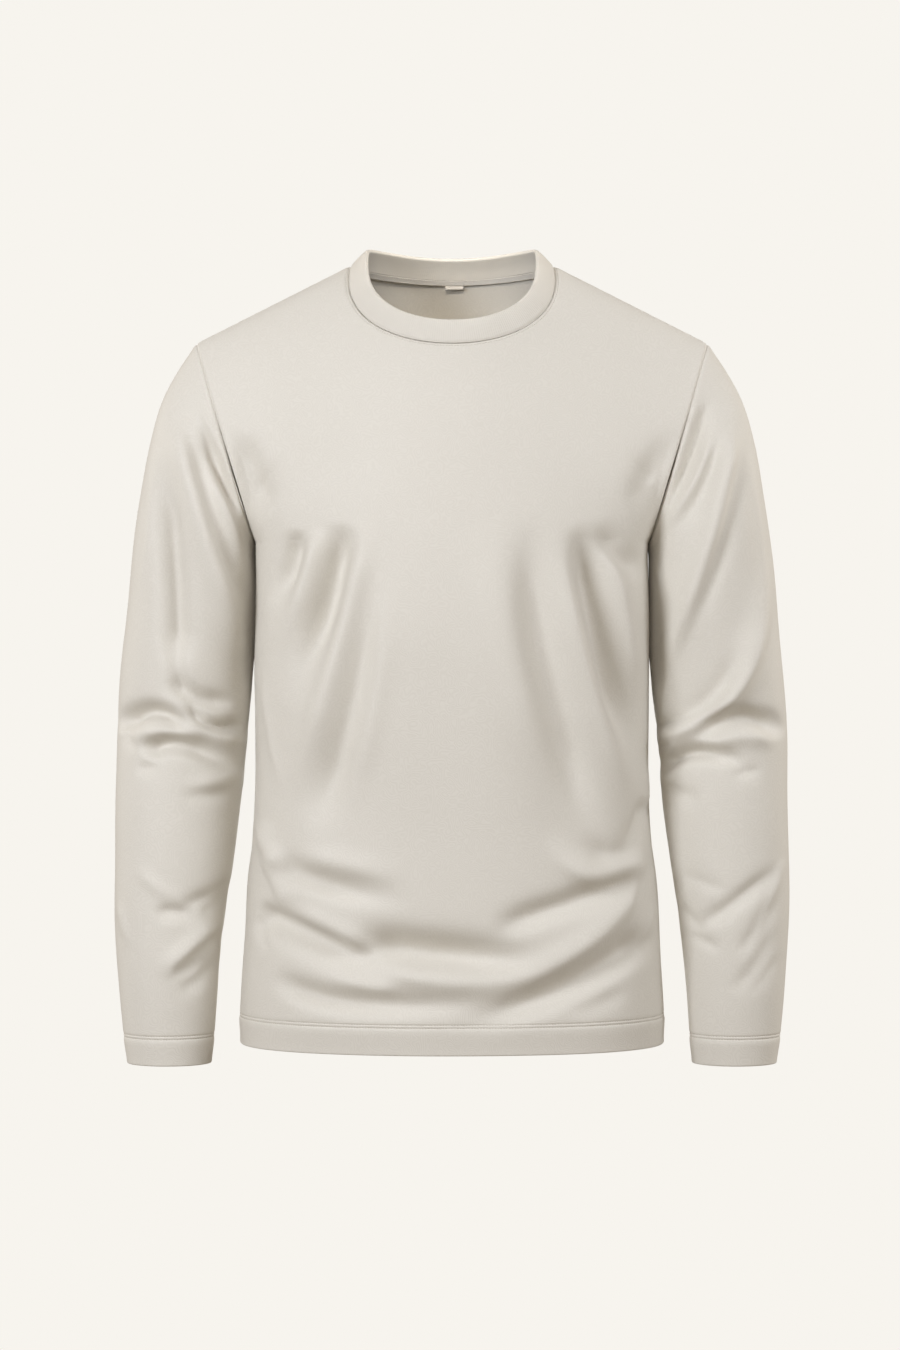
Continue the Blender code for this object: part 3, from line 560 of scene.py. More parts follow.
# A mesh in metres from points in millimetres and faces of four corners, with a UV at each corner
def makePiece(name, points, faces, uv, material):
    mesh = bpy.data.meshes.new(name)
    mesh.vertices.add(points.size // 3)
    mesh.vertices.foreach_set("co", (points * mm).astype(np.float32).ravel())
    mesh.loops.add(faces.size)
    mesh.loops.foreach_set("vertex_index", faces.astype(np.int32).ravel())
    mesh.polygons.add(len(faces))
    mesh.polygons.foreach_set("loop_start", np.arange(0, faces.size, 4, dtype=np.int32))
    mesh.update(calc_edges=True)
    layer = mesh.uv_layers.new(name="knit")
    layer.data.foreach_set("uv", uv.astype(np.float32).ravel())
    mesh.materials.append(material)
    mesh.shade_smooth()
    mesh.set_sharp_from_angle(angle=np.radians(60))
    mesh.validate()
    piece = inScene(name, mesh)
    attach(piece, "root")
    return piece


# The points of a grid numbered row by row
def numbered(shape):
    return np.arange(shape[0] * shape[1]).reshape(shape)


# The faces of a grid of point numbers
def corners(numbers):
    around = [numbers[:-1, :-1], numbers[:-1, 1:], numbers[1:, 1:], numbers[1:, :-1]]
    return np.stack(around, -1).reshape(-1, 4)


knitMap = dict(middle=0.25, inner=0.5)  # metres, which keep the two faces of a piece apart


# Lengths across and up the cloth from its middle column, in metres, for the knit to follow
def clothUV(grid):
    across, up = travelled(grid, 1), travelled(grid, 0)
    middle = grid.shape[1] // 2
    return np.stack([(across - across[:, middle:middle + 1]) * mm + knitMap["middle"], up * mm], axis=-1)


# A closed wall between two matching grids. A tube's last column is its first again
def shell(name, outer, inner, uv, material, tube=False):
    places = numbers = numbered(outer.shape[:2])
    if tube:
        outer, inner = outer[:, :-1], inner[:, :-1]
        numbers = np.pad(numbered(outer.shape[:2]), ((0, 0), (0, 1)), mode="wrap")
    count = numbers.max() + 1
    faces = [corners(numbers), corners(numbers + count)[:, ::-1]]
    spots = [corners(places), corners(places + places.size)[:, ::-1]]
    rims = [np.s_[0], np.s_[-1, ::-1]] + ([] if tube else [np.s_[:, -1], np.s_[::-1, 0]])
    for rim in rims:
        for made, table, beyond in ((faces, numbers, count), (spots, places, places.size)):
            here, there = table[rim][:-1], table[rim][1:]
            made.append(np.stack([there, here, here + beyond, there + beyond], -1))
    uv = np.concatenate([uv, uv + (knitMap["inner"], 0)]).reshape(-1, 2)[np.concatenate(spots)]
    return makePiece(name, np.concatenate([outer, inner]), np.concatenate(faces), uv, material)


stitch = dict(
    pitch=2.5, length=1.75, radius=0.27, sides=6,
    along=(-0.5, -0.38, 0.0, 0.38, 0.5), thick=(0.35, 0.85, 1.0, 0.85, 0.35),  # shares of its size
    dip=0.8,  # how far its ends dip into the cloth, a share of its radius
)


# Points a pitch apart along a line, with its direction and the surface's normal there
def spacedAlong(line, normals, pitch=stitch["pitch"]):
    run = travelled(line)
    at = np.arange(pitch / 2, run[-1], pitch)
    near = 0.4 * pitch
    ahead = unit(readAt(at + near, run, line) - readAt(at - near, run, line))
    return readAt(at, run, line), ahead, unit(readAt(at, run, normals))


# Rows of stitches as one mesh: each is a thin capsule that dips into the cloth at both ends
def stitches(name, rows, material):
    radius, sides = stitch["radius"], stitch["sides"]
    along = np.repeat(stitch["along"], sides)
    thick = np.repeat(stitch["thick"], sides) * radius
    angle = np.tile(np.arange(sides) * 2 * np.pi / sides, len(stitch["along"]))
    onward = along * stitch["length"]
    out = thick * np.sin(angle) - stitch["dip"] * radius * (2 * along) ** 4
    across = thick * np.cos(angle)
    number = np.pad(numbered((len(stitch["along"]), sides)), ((0, 0), (0, 1)), mode="wrap")
    first, last = number[0], number[-1]
    ends = np.array([first[[3, 2, 1, 0]], first[[5, 4, 3, 0]], last[[0, 1, 2, 3]], last[[0, 3, 4, 5]]])
    centre, ahead, normal = (np.concatenate(parts)[:, None] for parts in zip(*rows))
    beside = np.cross(normal, ahead)
    points = centre + ahead * onward[:, None] + normal * out[:, None] + beside * across[:, None]
    faces = np.concatenate([corners(number), ends])
    faces = (faces + (np.arange(len(centre)) * len(along))[:, None, None]).reshape(-1, 4)
    uv = np.tile(np.stack([onward, angle * radius], axis=-1) * mm, (len(centre), 1))
    return makePiece(name, points, faces, uv[faces], material)


# A number in a shader: arithmetic on it adds Math nodes
class Wire:
    def __init__(self, graph, socket):
        self.graph, self.socket = graph, socket

    def math(self, operation, *values):
        return self.graph.node("Math", dict(enumerate(values)), operation=operation)

    def __add__(self, other):
        return self.math("ADD", self, other)

    def __rsub__(self, other):
        return self.math("SUBTRACT", other, self)

    def __mul__(self, other):
        return self.math("MULTIPLY", self, other)

    __radd__, __rmul__ = __add__, __mul__

    def sine(self):
        return self.math("SINE", self)

    def size(self):
        return self.math("ABSOLUTE", self)

    # A length in metres as radians, a full turn for each pitch in millimetres
    def turns(self, pitch):
        return self * (2 * np.pi / (pitch * mm))


class Graph:
    def __init__(self, tree):
        self.tree = tree

    # Adds any node: first its settings, then its sockets' values or wires
    def node(self, kind, inputs=None, output=0, **settings):
        made = self.tree.nodes.new("ShaderNode" + kind)
        for name, value in settings.items():
            setattr(made, name, value)
        for name, value in (inputs or {}).items():
            self.feed(made.inputs[name], value)
        return Wire(self, made.outputs[output]) if made.outputs else None

    def feed(self, socket, value):
        if isinstance(value, Wire):
            self.tree.links.new(value.socket, socket)
        else:
            socket.default_value = value


# A material with one Principled shader, given the values that are the same all over
class Finish(Graph):
    def __init__(self, name, **sockets):
        self.material = bpy.data.materials.new(name)
        self.material.use_nodes = True
        super().__init__(self.material.node_tree)
        self.shader = self.tree.nodes["Principled BSDF"]
        for socket, value in sockets.items():
            self.set(socket.replace("_", " "), value)

    def set(self, name, value):
        self.feed(self.shader.inputs[name], value)

    # Noise over the object, in features per metre, from 0 to 1
    def noise(self, scale, detail=0.0):
        place = self.node("TexCoord", output="Object")
        return self.node("TexNoise", {"Vector": place, "Scale": scale, "Detail": detail})

    # Lengths across and up the cloth, in metres
    def knitPlace(self):
        apart = self.node("SeparateXYZ", {0: self.node("UVMap", uv_map="knit")})
        return apart, Wire(self, apart.socket.node.outputs[1])

    # The base colour, a share from dark to light
    def colour(self, dark, light, share):
        ends = {0: share, 6: (*dark, 1), 7: (*light, 1)}
        self.set("Base Color", self.node("Mix", ends, 2, data_type="RGBA"))

    # The height, in millimetres, bends the shading
    def bump(self, height):
        self.set("Normal", self.node("Bump", {"Height": height, "Distance": mm, "Strength": 1.0}))


jersey = dict(
    dark=(0.660, 0.628, 0.560), light=(0.728, 0.696, 0.628),
    waleMm=0.72, courseMm=0.55, courseLag=2.4, stitchMm=0.010,  # the knit's columns, rows and relief
    swirlPerM=120.0, swirlRings=8.0, swirlMm=0.050,  # the faint curled grain of the brushed face
    cloudPerM=11.0,
)


# Jersey: columns of V stitches, |sin| across and a sine up that lags by the distance from the column's
# middle, under a faint grain of soft curled lines, the sine of a noise
def makeJersey():
    finish = Finish("jersey_knit", Sheen_Weight=0.18, Sheen_Roughness=0.45, Specular_IOR_Level=0.35)
    u, v = finish.knitPlace()
    column = u.turns(2 * jersey["waleMm"]).sine().size()
    row = (v.turns(jersey["courseMm"]) + column * jersey["courseLag"]).sine()
    curl = (finish.noise(jersey["swirlPerM"]) * (2 * np.pi * jersey["swirlRings"])).sine()
    grain = curl * 0.5 + 0.5
    cloud = finish.noise(jersey["cloudPerM"], 3.0)
    finish.colour(jersey["dark"], jersey["light"], cloud * 0.5 + grain * 0.4 + column * 0.12 + row * 0.04)
    finish.set("Roughness", 0.66 - 0.1 * cloud)
    finish.bump(column * jersey["stitchMm"] + row * (0.5 * jersey["stitchMm"]) + grain * jersey["swirlMm"])
    return finish.material


rib = dict(
    dark=(0.650, 0.618, 0.550), light=(0.718, 0.686, 0.618),
    pitchMm=2.05, heightMm=0.06, courseMm=0.6, stitchMm=0.012,
    cloudPerM=24.0, cloudMm=0.05,
)


# Rib: the ribs are in the mesh, and short stitches run up each of them
def makeRib():
    finish = Finish("neckband_rib_knit", Sheen_Weight=0.18, Sheen_Roughness=0.45, Specular_IOR_Level=0.32)
    u, v = finish.knitPlace()
    row = v.turns(rib["courseMm"]).sine()
    column = u.turns(rib["pitchMm"]).sine()
    cloud = finish.noise(rib["cloudPerM"], 2.0)
    finish.colour(rib["dark"], rib["light"], cloud * 0.7 + column * 0.12 + 0.1)
    finish.set("Roughness", 0.7 - 0.08 * cloud)
    finish.bump(row * rib["stitchMm"] + cloud * rib["cloudMm"])
    return finish.material


twill = dict(dark=(0.76, 0.73, 0.67), light=(0.84, 0.81, 0.75),
             ridgeMm=0.9, ridgeHeight=0.03, warpMm=0.45, warpHeight=0.012)


# Tape: a fine twill, whose ridges run slantwise
def makeTape():
    finish = Finish("neck_tape_twill", Roughness=0.7, Sheen_Weight=0.12, Specular_IOR_Level=0.3)
    u, v = finish.knitPlace()
    slanted = (u + v).turns(twill["ridgeMm"]).sine()
    warp = u.turns(twill["warpMm"]).sine()
    finish.colour(twill["dark"], twill["light"], slanted * 0.3 + 0.5)
    finish.bump(slanted * twill["ridgeHeight"] + warp * twill["warpHeight"])
    return finish.material


satin = dict(dark=(0.72, 0.68, 0.61), light=(0.79, 0.755, 0.69), threadMm=0.3, threadHeight=0.01)


# Label: blank satin, with fine threads across
def makeLabel():
    finish = Finish("blank_label_satin", Roughness=0.5, Sheen_Weight=0.1, Specular_IOR_Level=0.4)
    thread = finish.knitPlace()[1].turns(satin["threadMm"]).sine()
    finish.colour(satin["dark"], satin["light"], thread * 0.4 + 0.5)
    finish.bump(thread * satin["threadHeight"])
    return finish.material


ply = dict(pitchMm=0.5, slant=1.5, height=0.02)


# Sewing thread: two plies, twisted
def makeThread(name, dark, light):
    finish = Finish(name, Roughness=0.6, Sheen_Weight=0.1, Specular_IOR_Level=0.35)
    u, v = finish.knitPlace()
    twist = (u + v * ply["slant"]).turns(ply["pitchMm"]).sine()
    finish.colour(dark, light, twist * 0.4 + 0.5)
    finish.bump(twist * ply["height"])
    return finish.material


cloth = dict(
    wall=0.9,  # the jersey
    seamGap=0.24,  # between two pieces at a seam
    calm=10.0,  # distance from a seam over which the folds set in
)
grids = dict(
    sideStep=3.5, armRows=62, shoulderStep=5.0, sleeveStep=2.45,
    frontReach=245.0, frontStep=2.75, backReach=235.0, backStep=3.7,  # along a row, and between columns
    nearHem=(0.35, 0.75, 1.35), nearSeam=(0.35, 0.8, 1.4, 2.2, 3.3, 4.6, 6.2),
    nearNeck=(0.4, 0.9, 1.5, 2.2, 3.0, 4.0, 5.0, 6.2, 7.4, 8.6, 10.0, 12.0),
    underarm=(0, 0.008, 0.018, 0.031),  # radians of the first columns of a sleeve
)


# Rows of the panels, close together at seams, stitches and folded edges
def panelMarks():
    upSide = marksAlong(cut["armpitZ"] - cut["hemZ"], grids["sideStep"], (0, *hemRows), grids["nearHem"])
    turn = np.linspace(np.pi, 0, grids["armRows"] + 1)[1:]
    toNeck = cut["tipX"] - cut["neckHalf"]
    shoulderX = cut["tipX"] - marksAlong(toNeck, grids["shoulderStep"], [toNeck], grids["nearNeck"])[1:]
    return upSide, turn, shoulderX


# Columns of half a panel, 0 in the middle and 1 at the edge
def halfColumns(reach, step):
    return marksAlong(reach, step, [reach], grids["nearSeam"]) / reach


# Draws the sewn edges back along the cloth by half the seam's gap
def pulledIn(grid, tube):
    pulled = grid.copy()
    pairs = [(np.s_[-1], np.s_[-2])]
    if not tube:
        pairs += [(np.s_[:, 0], np.s_[:, 1]), (np.s_[:, -1], np.s_[:, -2])]
    for edge, inside in pairs:
        pulled[edge] += unit(grid[inside] - grid[edge]) * cloth["seamGap"] / 2
    return pulled


# Outer and inner grids of a wall of cloth: both follow the folds, the outer one has the lips and the
# stitches' dents too, and the inner one a share of the lips
def clothWall(grid, normals, folds, lips, dents, up, tube=False):
    outer = grid + normals * (folds + lips + dents)[..., None]
    inner = grid + normals * (folds + lip["inside"] * lips)[..., None]
    turned = smoothStep((hemRows[1] + hem["wallBelow"] - up) / hem["wallFade"])
    wall = mixed(cloth["wall"], hem["wall"], turned)
    edge = roundedEdge(up)
    inner = inner - gridNormals(inner, tube) * (wall - edge)[..., None]
    outer = outer - gridNormals(outer, tube) * edge[..., None]
    return pulledIn(outer, tube), pulledIn(inner, tube)


# folds and sideLip are growing shares: the low value, and the start and length of the stretch
panel = dict(
    folds=(0.12, 16, 34), sideLip=(0.35, cut["armpitZ"], 40),
    neckDent=-0.715, topstitch=2.7,  # the neck's row of stitches, and its distance from the seam
)


# A panel with its folds, rolled seams and turned-up hem: two grids, and the distances to the neck seam
def dressPanel(grid, upRows, folds, phase):
    side = np.minimum(distanceTo(grid, grid[:, 0]), distanceTo(grid, grid[:, -1]))
    neck = distanceTo(grid, grid[-1])
    sewn = np.minimum(side, neck)
    up = upRows[:, None]
    x, z = grid[..., 0], grid[..., 2]
    soft = foldHeight(folds, x, z) * smoothStep(sewn / cloth["calm"]) * growing(up, *panel["folds"])
    soft += slack(x, z, phase) * smoothStep(sewn / ripple["calm"]) + tuckedIn(up)
    lips = seamLip(side, z) * growing(z, *panel["sideLip"]) + seamLip(neck, x)
    dents = turnedEdge(up, x) + ridge(neck, panel["neckDent"], panel["topstitch"], hem["dentWidth"])
    return *clothWall(grid, gridNormals(grid), soft, lips, dents, up), neck


# folds and facing grow too: up from the cuff, and with how far the cloth faces forward or back
sleeve = dict(
    folds=(0.1, 18, 30), facing=(0.12, 0, 0.5),
    backShare=0.8, backDrop=7.0, backFade=0.3,  # the folds behind, made from those in front
    slack=0.7, draw=0.5,  # shares of a panel's
    seamDip=(-0.4, 0, 1.3), seamProud=(0.1, 3.4, 2.0),  # ridges along the underarm seam
)


# A sleeve with its folds: strongest in front and behind, and shallow round the outside of the arm
def dressSleeve(grid, upRows, folds, phase):
    normals = gridNormals(grid, True)
    armhole, underarm = distanceTo(grid, grid[-1]), distanceTo(grid, grid[:, 0])
    up = upRows[:, None]
    x, y, z = np.moveaxis(grid, -1, 0)
    atBack = sleeve["backShare"] * foldHeight(folds, x, z + sleeve["backDrop"])
    soft = mixed(foldHeight(folds, x, z), atBack, smoothStep(normals[..., 1] / sleeve["backFade"]))
    soft *= growing(np.abs(normals[..., 1]), *sleeve["facing"]) * growing(up, *sleeve["folds"])
    soft *= smoothStep(armhole / cloth["calm"])
    soft += sleeve["slack"] * slack(x + y, z, phase) * smoothStep(armhole / ripple["calm"])
    soft += sleeve["draw"] * tuckedIn(up)
    lips = seamLip(armhole, y) + ridge(underarm, *sleeve["seamDip"]) + ridge(underarm, *sleeve["seamProud"])
    return clothWall(grid, normals, soft, lips, turnedEdge(up, x + y), up, True)


# The two rows of stitches that hold a turned-up edge
def hemStitches(outer, up, tube=False):
    normals = gridNormals(outer, tube)
    nearest = [int(np.abs(up - height).argmin()) for height in hemRows]
    return [spacedAlong(outer[row], normals[row]) for row in nearest]


# The line on a panel's outside at a set distance from the neck seam
def besideNeck(outer, neck, apart):
    crossed = (neck[:-1] > apart) & (neck[1:] <= apart)
    low = len(crossed) - 1 - crossed[::-1].argmax(axis=0)
    column = np.arange(outer.shape[1])
    share = ((neck[low, column] - apart) / (neck[low, column] - neck[low + 1, column]))[:, None]
    return mixed(outer[low, column], outer[low + 1, column], share), gridNormals(outer)[low, column]


# A closed ring of numbers, smoothed by a bell over its neighbours
def smoothRing(values, reach):
    return sum(share * np.roll(values, offset, axis=0) for offset, share in bellShares(3 * reach, reach))


band = dict(
    width=21.6, wall=2.6,
    rim=3.9,  # thickness at the fold
    swell=0.6,  # how far its middle stands out
    frontStand=0.14, shoulderStand=0.34,  # radians by which it leans out from the panels
    seamDip=(-0.8, 0, 1.2), rimDip=(-0.35, 0, 1.5),  # ridges on its outer face
    columnsPerRib=6, rowStep=1.15, nearSeam=(0.3, 0.7, 1.2, 1.9), foldRows=9,
    seamEven=3, normalEven=24, standEven=8,  # columns over which each is evened out
    edgeEven=14.0,  # length over which the top edge is
    ribRise=2.5, ribFade=2.0, ribAtRim=0.25,
)


# The neckband: a flattened loop of rib, with a round fold on top, carried round the neck seam. up runs
# along the stand, across from the outer face to the inner one, and cosine ribs stand on both
def makeNeckband(front, back, material):
    width, wall, r = band["width"], band["wall"], band["rim"] / 2
    seam = np.concatenate([front[-1, :-1], back[-1, :-1], front[-1, :1]])
    frontNormals, backNormals = gridNormals(front)[-1], gridNormals(back)[-1]
    normals = np.concatenate([frontNormals[:-1], backNormals[:-1], frontNormals[:1]])
    run = travelled(seam)
    ribs = int(round(run[-1] / rib["pitchMm"]))
    at = np.linspace(0, run[-1], ribs * band["columnsPerRib"] + 1)[:-1]
    normals = unit(smoothRing(readAt(at, run, normals), band["normalEven"]))
    seam = smoothRing(readAt(at, run, seam), band["seamEven"])
    ahead = unit(np.roll(seam, -1, axis=0) - np.roll(seam, 1, axis=0))
    onward = unit(np.cross(normals, ahead))
    lean = mixed(band["frontStand"], band["shoulderStand"], (seam[:, :1] / cut["neckHalf"]) ** 4)
    stand = unit(smoothRing(np.cos(lean) * onward + np.sin(lean) * normals, band["standEven"]))
    top = smoothRing(seam + width * stand, int(band["edgeEven"] / (at[1] - at[0])))
    stand = (top - seam) / width
    outward = unit(np.cross(ahead, stand))
    rise = marksAlong(width - r, band["rowStep"], [0], band["nearSeam"])
    fold = np.linspace(0, np.pi, band["foldRows"] + 2)[1:-1]
    none = np.zeros_like(rise)
    up = np.concatenate([rise, width - r + r * np.sin(fold), rise[::-1]])
    across = np.concatenate([none, (1 - np.cos(fold)) / 2, none + 1])
    face = np.concatenate([none + 1, np.cos(fold), none - 1])
    swell = band["swell"] * np.sin(np.pi * np.clip(up / width, 0, 1))
    dips = ridge(up, *band["seamDip"]) + ridge(width - up, *band["rimDip"])
    thick = mixed(wall, 2 * r, smoothStep(up / (width - r)))
    depth = swell + dips * (across == 0) + (thick - wall) / 2 - across * thick
    fade = smoothStep((width - up) / band["ribFade"] + band["ribAtRim"]) * face
    ribbing = rib["heightMm"] * np.cos(2 * np.pi * ribs * at / run[-1])
    ribbing = (smoothStep(up / band["ribRise"]) * fade)[:, None] * ribbing
    grid = (seam + stand * (up[:, None, None] + cloth["seamGap"] / 2)
            + outward * (depth[:, None] + ribbing)[..., None])
    numbers = np.pad(numbered(grid.shape[:2]), ((0, 1), (0, 1)), mode="wrap")
    profile = travelled(np.stack([up, across * wall], axis=-1))
    profile = np.append(profile, profile[-1] + wall)
    place = np.stack(np.meshgrid(np.append(at, run[-1]), profile), axis=-1) * mm
    uv = place.reshape(-1, 2)[corners(numbered(place.shape[:2]))]
    print("neckband ring", grid.shape)
    return makePiece("ribbed_neckband", grid, corners(numbers), uv, material)


# Thickness from a thin edge to 1 inside it, by a quarter circle over a corner's share of the width
def rounded(share, corner, thin=0.25):
    edge = np.clip(np.minimum(share, 1 - share) / corner, 0, 1)
    return mixed(thin, 1, np.sqrt(1 - (1 - edge) ** 2))


# A closed strip on the inside of a panel, a depth in from its surface, its wall thinned by a share
def insideStrip(name, grid, depth, wall, thick, material):
    normals = gridNormals(grid)
    lift = (1 - thick)[..., None] * wall / 2
    far = grid - normals * (depth + wall - lift)
    return shell(name, grid - normals * (depth + lift), far, clothUV(grid), material), far, -normals


tape = dict(width=9.0, wall=0.8, depth=1.95, gap=0.25, end=0.9, corner=0.12, stitchInset=1.1,
            rows=13, columns=96)


# The neck tape: a strip of the back's own surface moved in, from the neck seam down
def makeTapeStrip(material):
    x = cut["neckHalf"] + np.linspace(tape["width"], tape["gap"], tape["rows"])
    grid = backPanel(shoulderRows(x), np.linspace(0, tape["end"], tape["columns"]))
    thick = rounded(np.linspace(0, 1, tape["rows"])[:, None], tape["corner"])
    strip, far, normals = insideStrip("neck_tape_strip", grid, tape["depth"], tape["wall"], thick, material)
    insets = (tape["stitchInset"], tape["width"] - tape["stitchInset"])
    sewn = [int(round((1 - inset / tape["width"]) * (tape["rows"] - 1))) for inset in insets]
    return strip, [spacedAlong(far[row], normals[row]) for row in sewn]


label = dict(
    middleX=2.4, width=17.0, wall=0.8, depth=3.0,
    top=6.2, bottom=9.2,  # along the cloth from the start of the search line
    searchFrom=-3.5, searchTo=-16.0, searchSteps=60,  # heights
    rows=13, columns=25, endCorner=0.25, sideCorner=0.06,
    hang=0.9, hangPower=1.5,  # how far its lower edge hangs in from the back
)


# The blank label: a small tab on the inside of the back, below the tape
def makeLabelTab(material):
    x = label["middleX"] + np.linspace(-0.5, 0.5, label["columns"]) * label["width"]
    z = np.linspace(label["searchFrom"], label["searchTo"], label["searchSteps"])
    y = bodyDepth(np.full_like(z, label["middleX"]), z, "back", backShoulder)
    down = np.linspace(label["bottom"], label["top"], label["rows"])
    gridX, gridZ = np.meshgrid(x[::-1], np.interp(down, travelled(np.stack([y, z], axis=-1)), z))
    grid = np.stack([gridX, bodyDepth(gridX, gridZ, "back", backShoulder), gridZ], axis=-1)
    up, across = np.linspace(0, 1, label["rows"])[:, None], np.linspace(0, 1, label["columns"])
    thick = rounded(up, label["endCorner"]) * rounded(across, label["sideCorner"])
    depth = label["depth"] + (label["hang"] * (1 - up) ** label["hangPower"])[..., None]
    return insideStrip("blank_label_tab", grid, depth, label["wall"], thick, material)[0]


print("materials")
jerseyKnit = makeJersey()
ribKnit = makeRib()
tapeTwill = makeTape()
labelSatin = makeLabel()
thread = makeThread("sewing_thread", (0.40, 0.36, 0.295), (0.62, 0.58, 0.505))
# Painted highlight: the tape's stitches are the sewing thread painted lighter, standing in for the light
# their rows catch inside the neck
highlitTapeThread = makeThread("tape_thread_painted_highlight", (0.46, 0.42, 0.35), (0.70, 0.66, 0.59))

print("surfaces")
upSide, turn, shoulderX = panelMarks()
rows = panelRows(upSide, turn, shoulderX)
frontGrid = frontPanel(rows, halfColumns(grids["frontReach"], grids["frontStep"]))
backGrid = backPanel(rows, halfColumns(grids["backReach"], grids["backStep"]))
upPanel = np.concatenate([upSide, np.full(len(turn) + len(shoulderX), upSide[-1])])
tubeTurn = np.concatenate([np.pi - np.array(grids["underarm"]), turn])
armZ = armholeZ(tubeTurn)
atFront = bodyDepth(armholeX(armZ), armZ, "front", frontShoulder)
atBack = bodyDepth(armholeX(armZ), armZ, "back", backShoulder)
armholeY = np.concatenate([-atFront, atBack[-2::-1]])
tubeTurn = np.concatenate([tubeTurn, -tubeTurn[-2::-1]])[None, :]
upSleeve = marksAlong(sleeveRun[-1], grids["sleeveStep"], (0, *hemRows, sleeveRun[-1]), grids["nearHem"])
leftGrid = sleeveTube(armholeY, tubeTurn, upSleeve)
rightGrid = leftGrid[:, ::-1] * (-1, 1, 1)

print("front", frontGrid.shape, "back", backGrid.shape, "sleeve", leftGrid.shape)
frontOut, frontIn, frontNeck = dressPanel(frontGrid, upPanel, frontFolds, ripple["front"])
backOut, backIn, backNeck = dressPanel(backGrid, upPanel, backFolds, ripple["back"])
leftOut, leftIn = dressSleeve(leftGrid, upSleeve, leftSleeveFolds, ripple["left"])
rightOut, rightIn = dressSleeve(rightGrid, upSleeve, rightSleeveFolds, ripple["right"])

print("cloth")
frontPiece = shell("front_panel", frontOut, frontIn, clothUV(frontGrid), jerseyKnit)
backPiece = shell("back_panel", backOut, backIn, clothUV(backGrid), jerseyKnit)
leftPiece = shell("left_sleeve", leftOut, leftIn, clothUV(leftGrid), jerseyKnit, True)
rightPiece = shell("right_sleeve", rightOut, rightIn, clothUV(rightGrid), jerseyKnit, True)
bandPiece = makeNeckband(frontGrid, backGrid, ribKnit)
tapePiece, tapeRows = makeTapeStrip(tapeTwill)
labelPiece = makeLabelTab(labelSatin)

print("stitches")
hemSewn = stitches("hem_stitching", hemStitches(frontOut, upPanel) + hemStitches(backOut, upPanel), thread)
leftSewn = stitches("left_cuff_stitching", hemStitches(leftOut, upSleeve, True), thread)
rightSewn = stitches("right_cuff_stitching", hemStitches(rightOut, upSleeve, True), thread)
neckRows = [spacedAlong(*besideNeck(outer, neck, panel["topstitch"]))
            for outer, neck in ((frontOut, frontNeck), (backOut, backNeck))]
neckSewn = stitches("neck_topstitching", neckRows, thread)
tapeSewn = stitches("neck_tape_stitching", tapeRows, highlitTapeThread)

for piece, node, slot in (
        (frontPiece, "front", "jersey"), (backPiece, "back", "jersey"),
        (leftPiece, "sleeve_left", "jersey"), (rightPiece, "sleeve_right", "jersey"),
        (bandPiece, "neckband", "rib"), (tapePiece, "neck_tape", "tape"), (labelPiece, "label", "label")):
    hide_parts(node)

# Metres, and linear red, green and blue
studio = dict(
    backdrop=(0.930, 0.905, 0.855),
    dome=(1.0, 0.85, 0.67), domeTop=0.305, domeBottom=0.285,
    distance=2.8, eyeHeight=-0.368, sideways=-0.0018,
    lens=82.96, sensor=36.0,  # millimetres
    floor=(0.80, 0.78, 0.74), floorHeight=-1.30, floorRadius=1.3, floorSolid=0.9,
    floorHole=0.02, floorRings=24, floorSpokes=97,
    lampDistance=3.0,
)


# A plain background for the camera, and for everything else a dome of light, brighter above
def makeWorld():
    world = bpy.data.worlds.new("studio")
    bpy.context.scene.world = world
    world.use_nodes = True
    world.node_tree.nodes.clear()
    graph = Graph(world.node_tree)
    height = graph.node("SeparateXYZ", {0: graph.node("TexCoord", output="Generated")}, "Z")
    strength = graph.node("MapRange", {
        "Value": height, "From Min": -1, "To Min": studio["domeBottom"], "To Max": studio["domeTop"]})
    dome = graph.node("Background", {"Color": (*studio["dome"], 1), "Strength": strength})
    seen = graph.node("Background", {"Color": (*studio["backdrop"], 1)})
    toCamera = graph.node("LightPath", output="Is Camera Ray")
    graph.node("OutputWorld", {"Surface": graph.node("MixShader", {0: toCamera, 1: dome, 2: seen})})


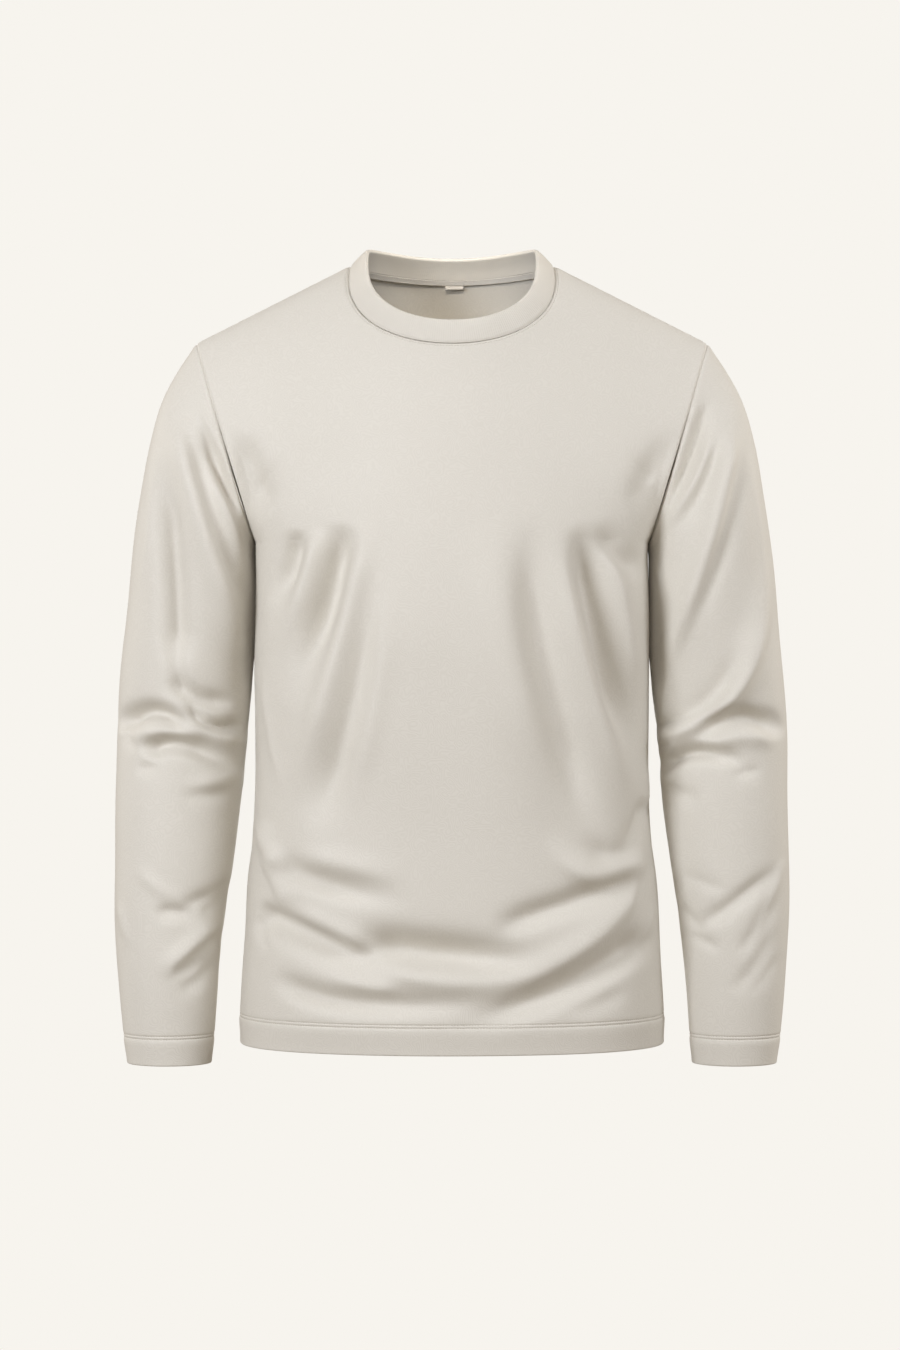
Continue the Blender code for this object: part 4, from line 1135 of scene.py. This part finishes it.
# A pale disc whose rim fades out
def makeFloor():
    finish = Finish("pale_floor", Roughness=0.8, Specular_IOR_Level=0.2)
    place = finish.node("TexCoord", output="Object")
    away = finish.node("VectorMath", {0: place}, "Value", operation="LENGTH")
    finish.set("Base Color", (*studio["floor"], 1))
    finish.set("Alpha", finish.node("MapRange", {
        "Value": away, "From Min": studio["floorSolid"], "From Max": studio["floorRadius"],
        "To Min": 1.0, "To Max": 0.0}, interpolation_type="SMOOTHSTEP"))
    ring = np.linspace(studio["floorHole"], studio["floorRadius"], studio["floorRings"])[:, None]
    spokes = np.linspace(0, 2 * np.pi, studio["floorSpokes"])
    height = np.full_like(ring * spokes, studio["floorHeight"])
    points = np.stack([ring * np.cos(spokes), ring * np.sin(spokes), height], axis=-1).reshape(-1, 3)
    faces = corners(numbered(height.shape))[:, ::-1]
    makePiece("studio_floor", points / mm, faces, points[faces][..., :2], finish.material)


# A lamp of any kind, in metres and radians
def makeLight(name, kind, place, turn, **settings):
    light = bpy.data.lights.new(name, kind)
    for setting, value in settings.items():
        setattr(light, setting, value)
    inScene(name, light, place, turn)


# A square lamp that looks at the shirt's middle, from degrees round from the front and degrees up
def makeLamp(name, around, above, size, power, colour):
    turn, lift = np.radians(around), np.radians(above)
    away = np.array((np.cos(lift) * np.sin(turn), -np.cos(lift) * np.cos(turn), np.sin(lift)))
    place = studio["lampDistance"] * away + (0, 0, studio["eyeHeight"])
    makeLight(name, "AREA", place, (np.pi / 2 - lift, 0, turn), size=size, energy=power, color=colour)


coolWhite, warmWhite, softWhite = (0.94, 0.98, 1.06), (1.0, 0.97, 0.92), (1.0, 0.98, 0.94)
beam = dict(
    place=(0, -1.45, 0.70), ahead=1.54, drop=0.715,  # it looks at a point this far ahead and below
    degrees=7.0, softEdge=0.7, size=0.03, power=66, colour=(1.0, 0.90, 0.76),
)

print("studio")
makeWorld()
makeFloor()
makeLamp("key", -42, 17, 1.0, 55, coolWhite)
makeLamp("front", -6, 16, 1.2, 10, coolWhite)
makeLamp("fill", 56, 27, 1.2, 35, coolWhite)
makeLamp("rim_left", -118, 20, 1.0, 16, warmWhite)
makeLamp("rim_right", 112, 20, 1.0, 26, warmWhite)
makeLamp("back", 178, 1, 2.0, 34, softWhite)

# A narrow beam that passes over the front of the neckline and lights the inside of the back
makeLight("collar", "SPOT", beam["place"], (np.pi / 2 - np.arctan2(beam["drop"], beam["ahead"]), 0, 0),
          energy=beam["power"], color=beam["colour"], spot_size=np.radians(beam["degrees"]),
          spot_blend=beam["softEdge"], shadow_soft_size=beam["size"])

camera = bpy.data.cameras.new("camera")
camera.lens = studio["lens"]
camera.sensor_width = studio["sensor"]
eye = (studio["sideways"], -studio["distance"], studio["eyeHeight"])
bpy.context.scene.camera = inScene("camera", camera, eye, (np.pi / 2, 0, 0))
bpy.context.scene.view_settings.view_transform = "Standard"
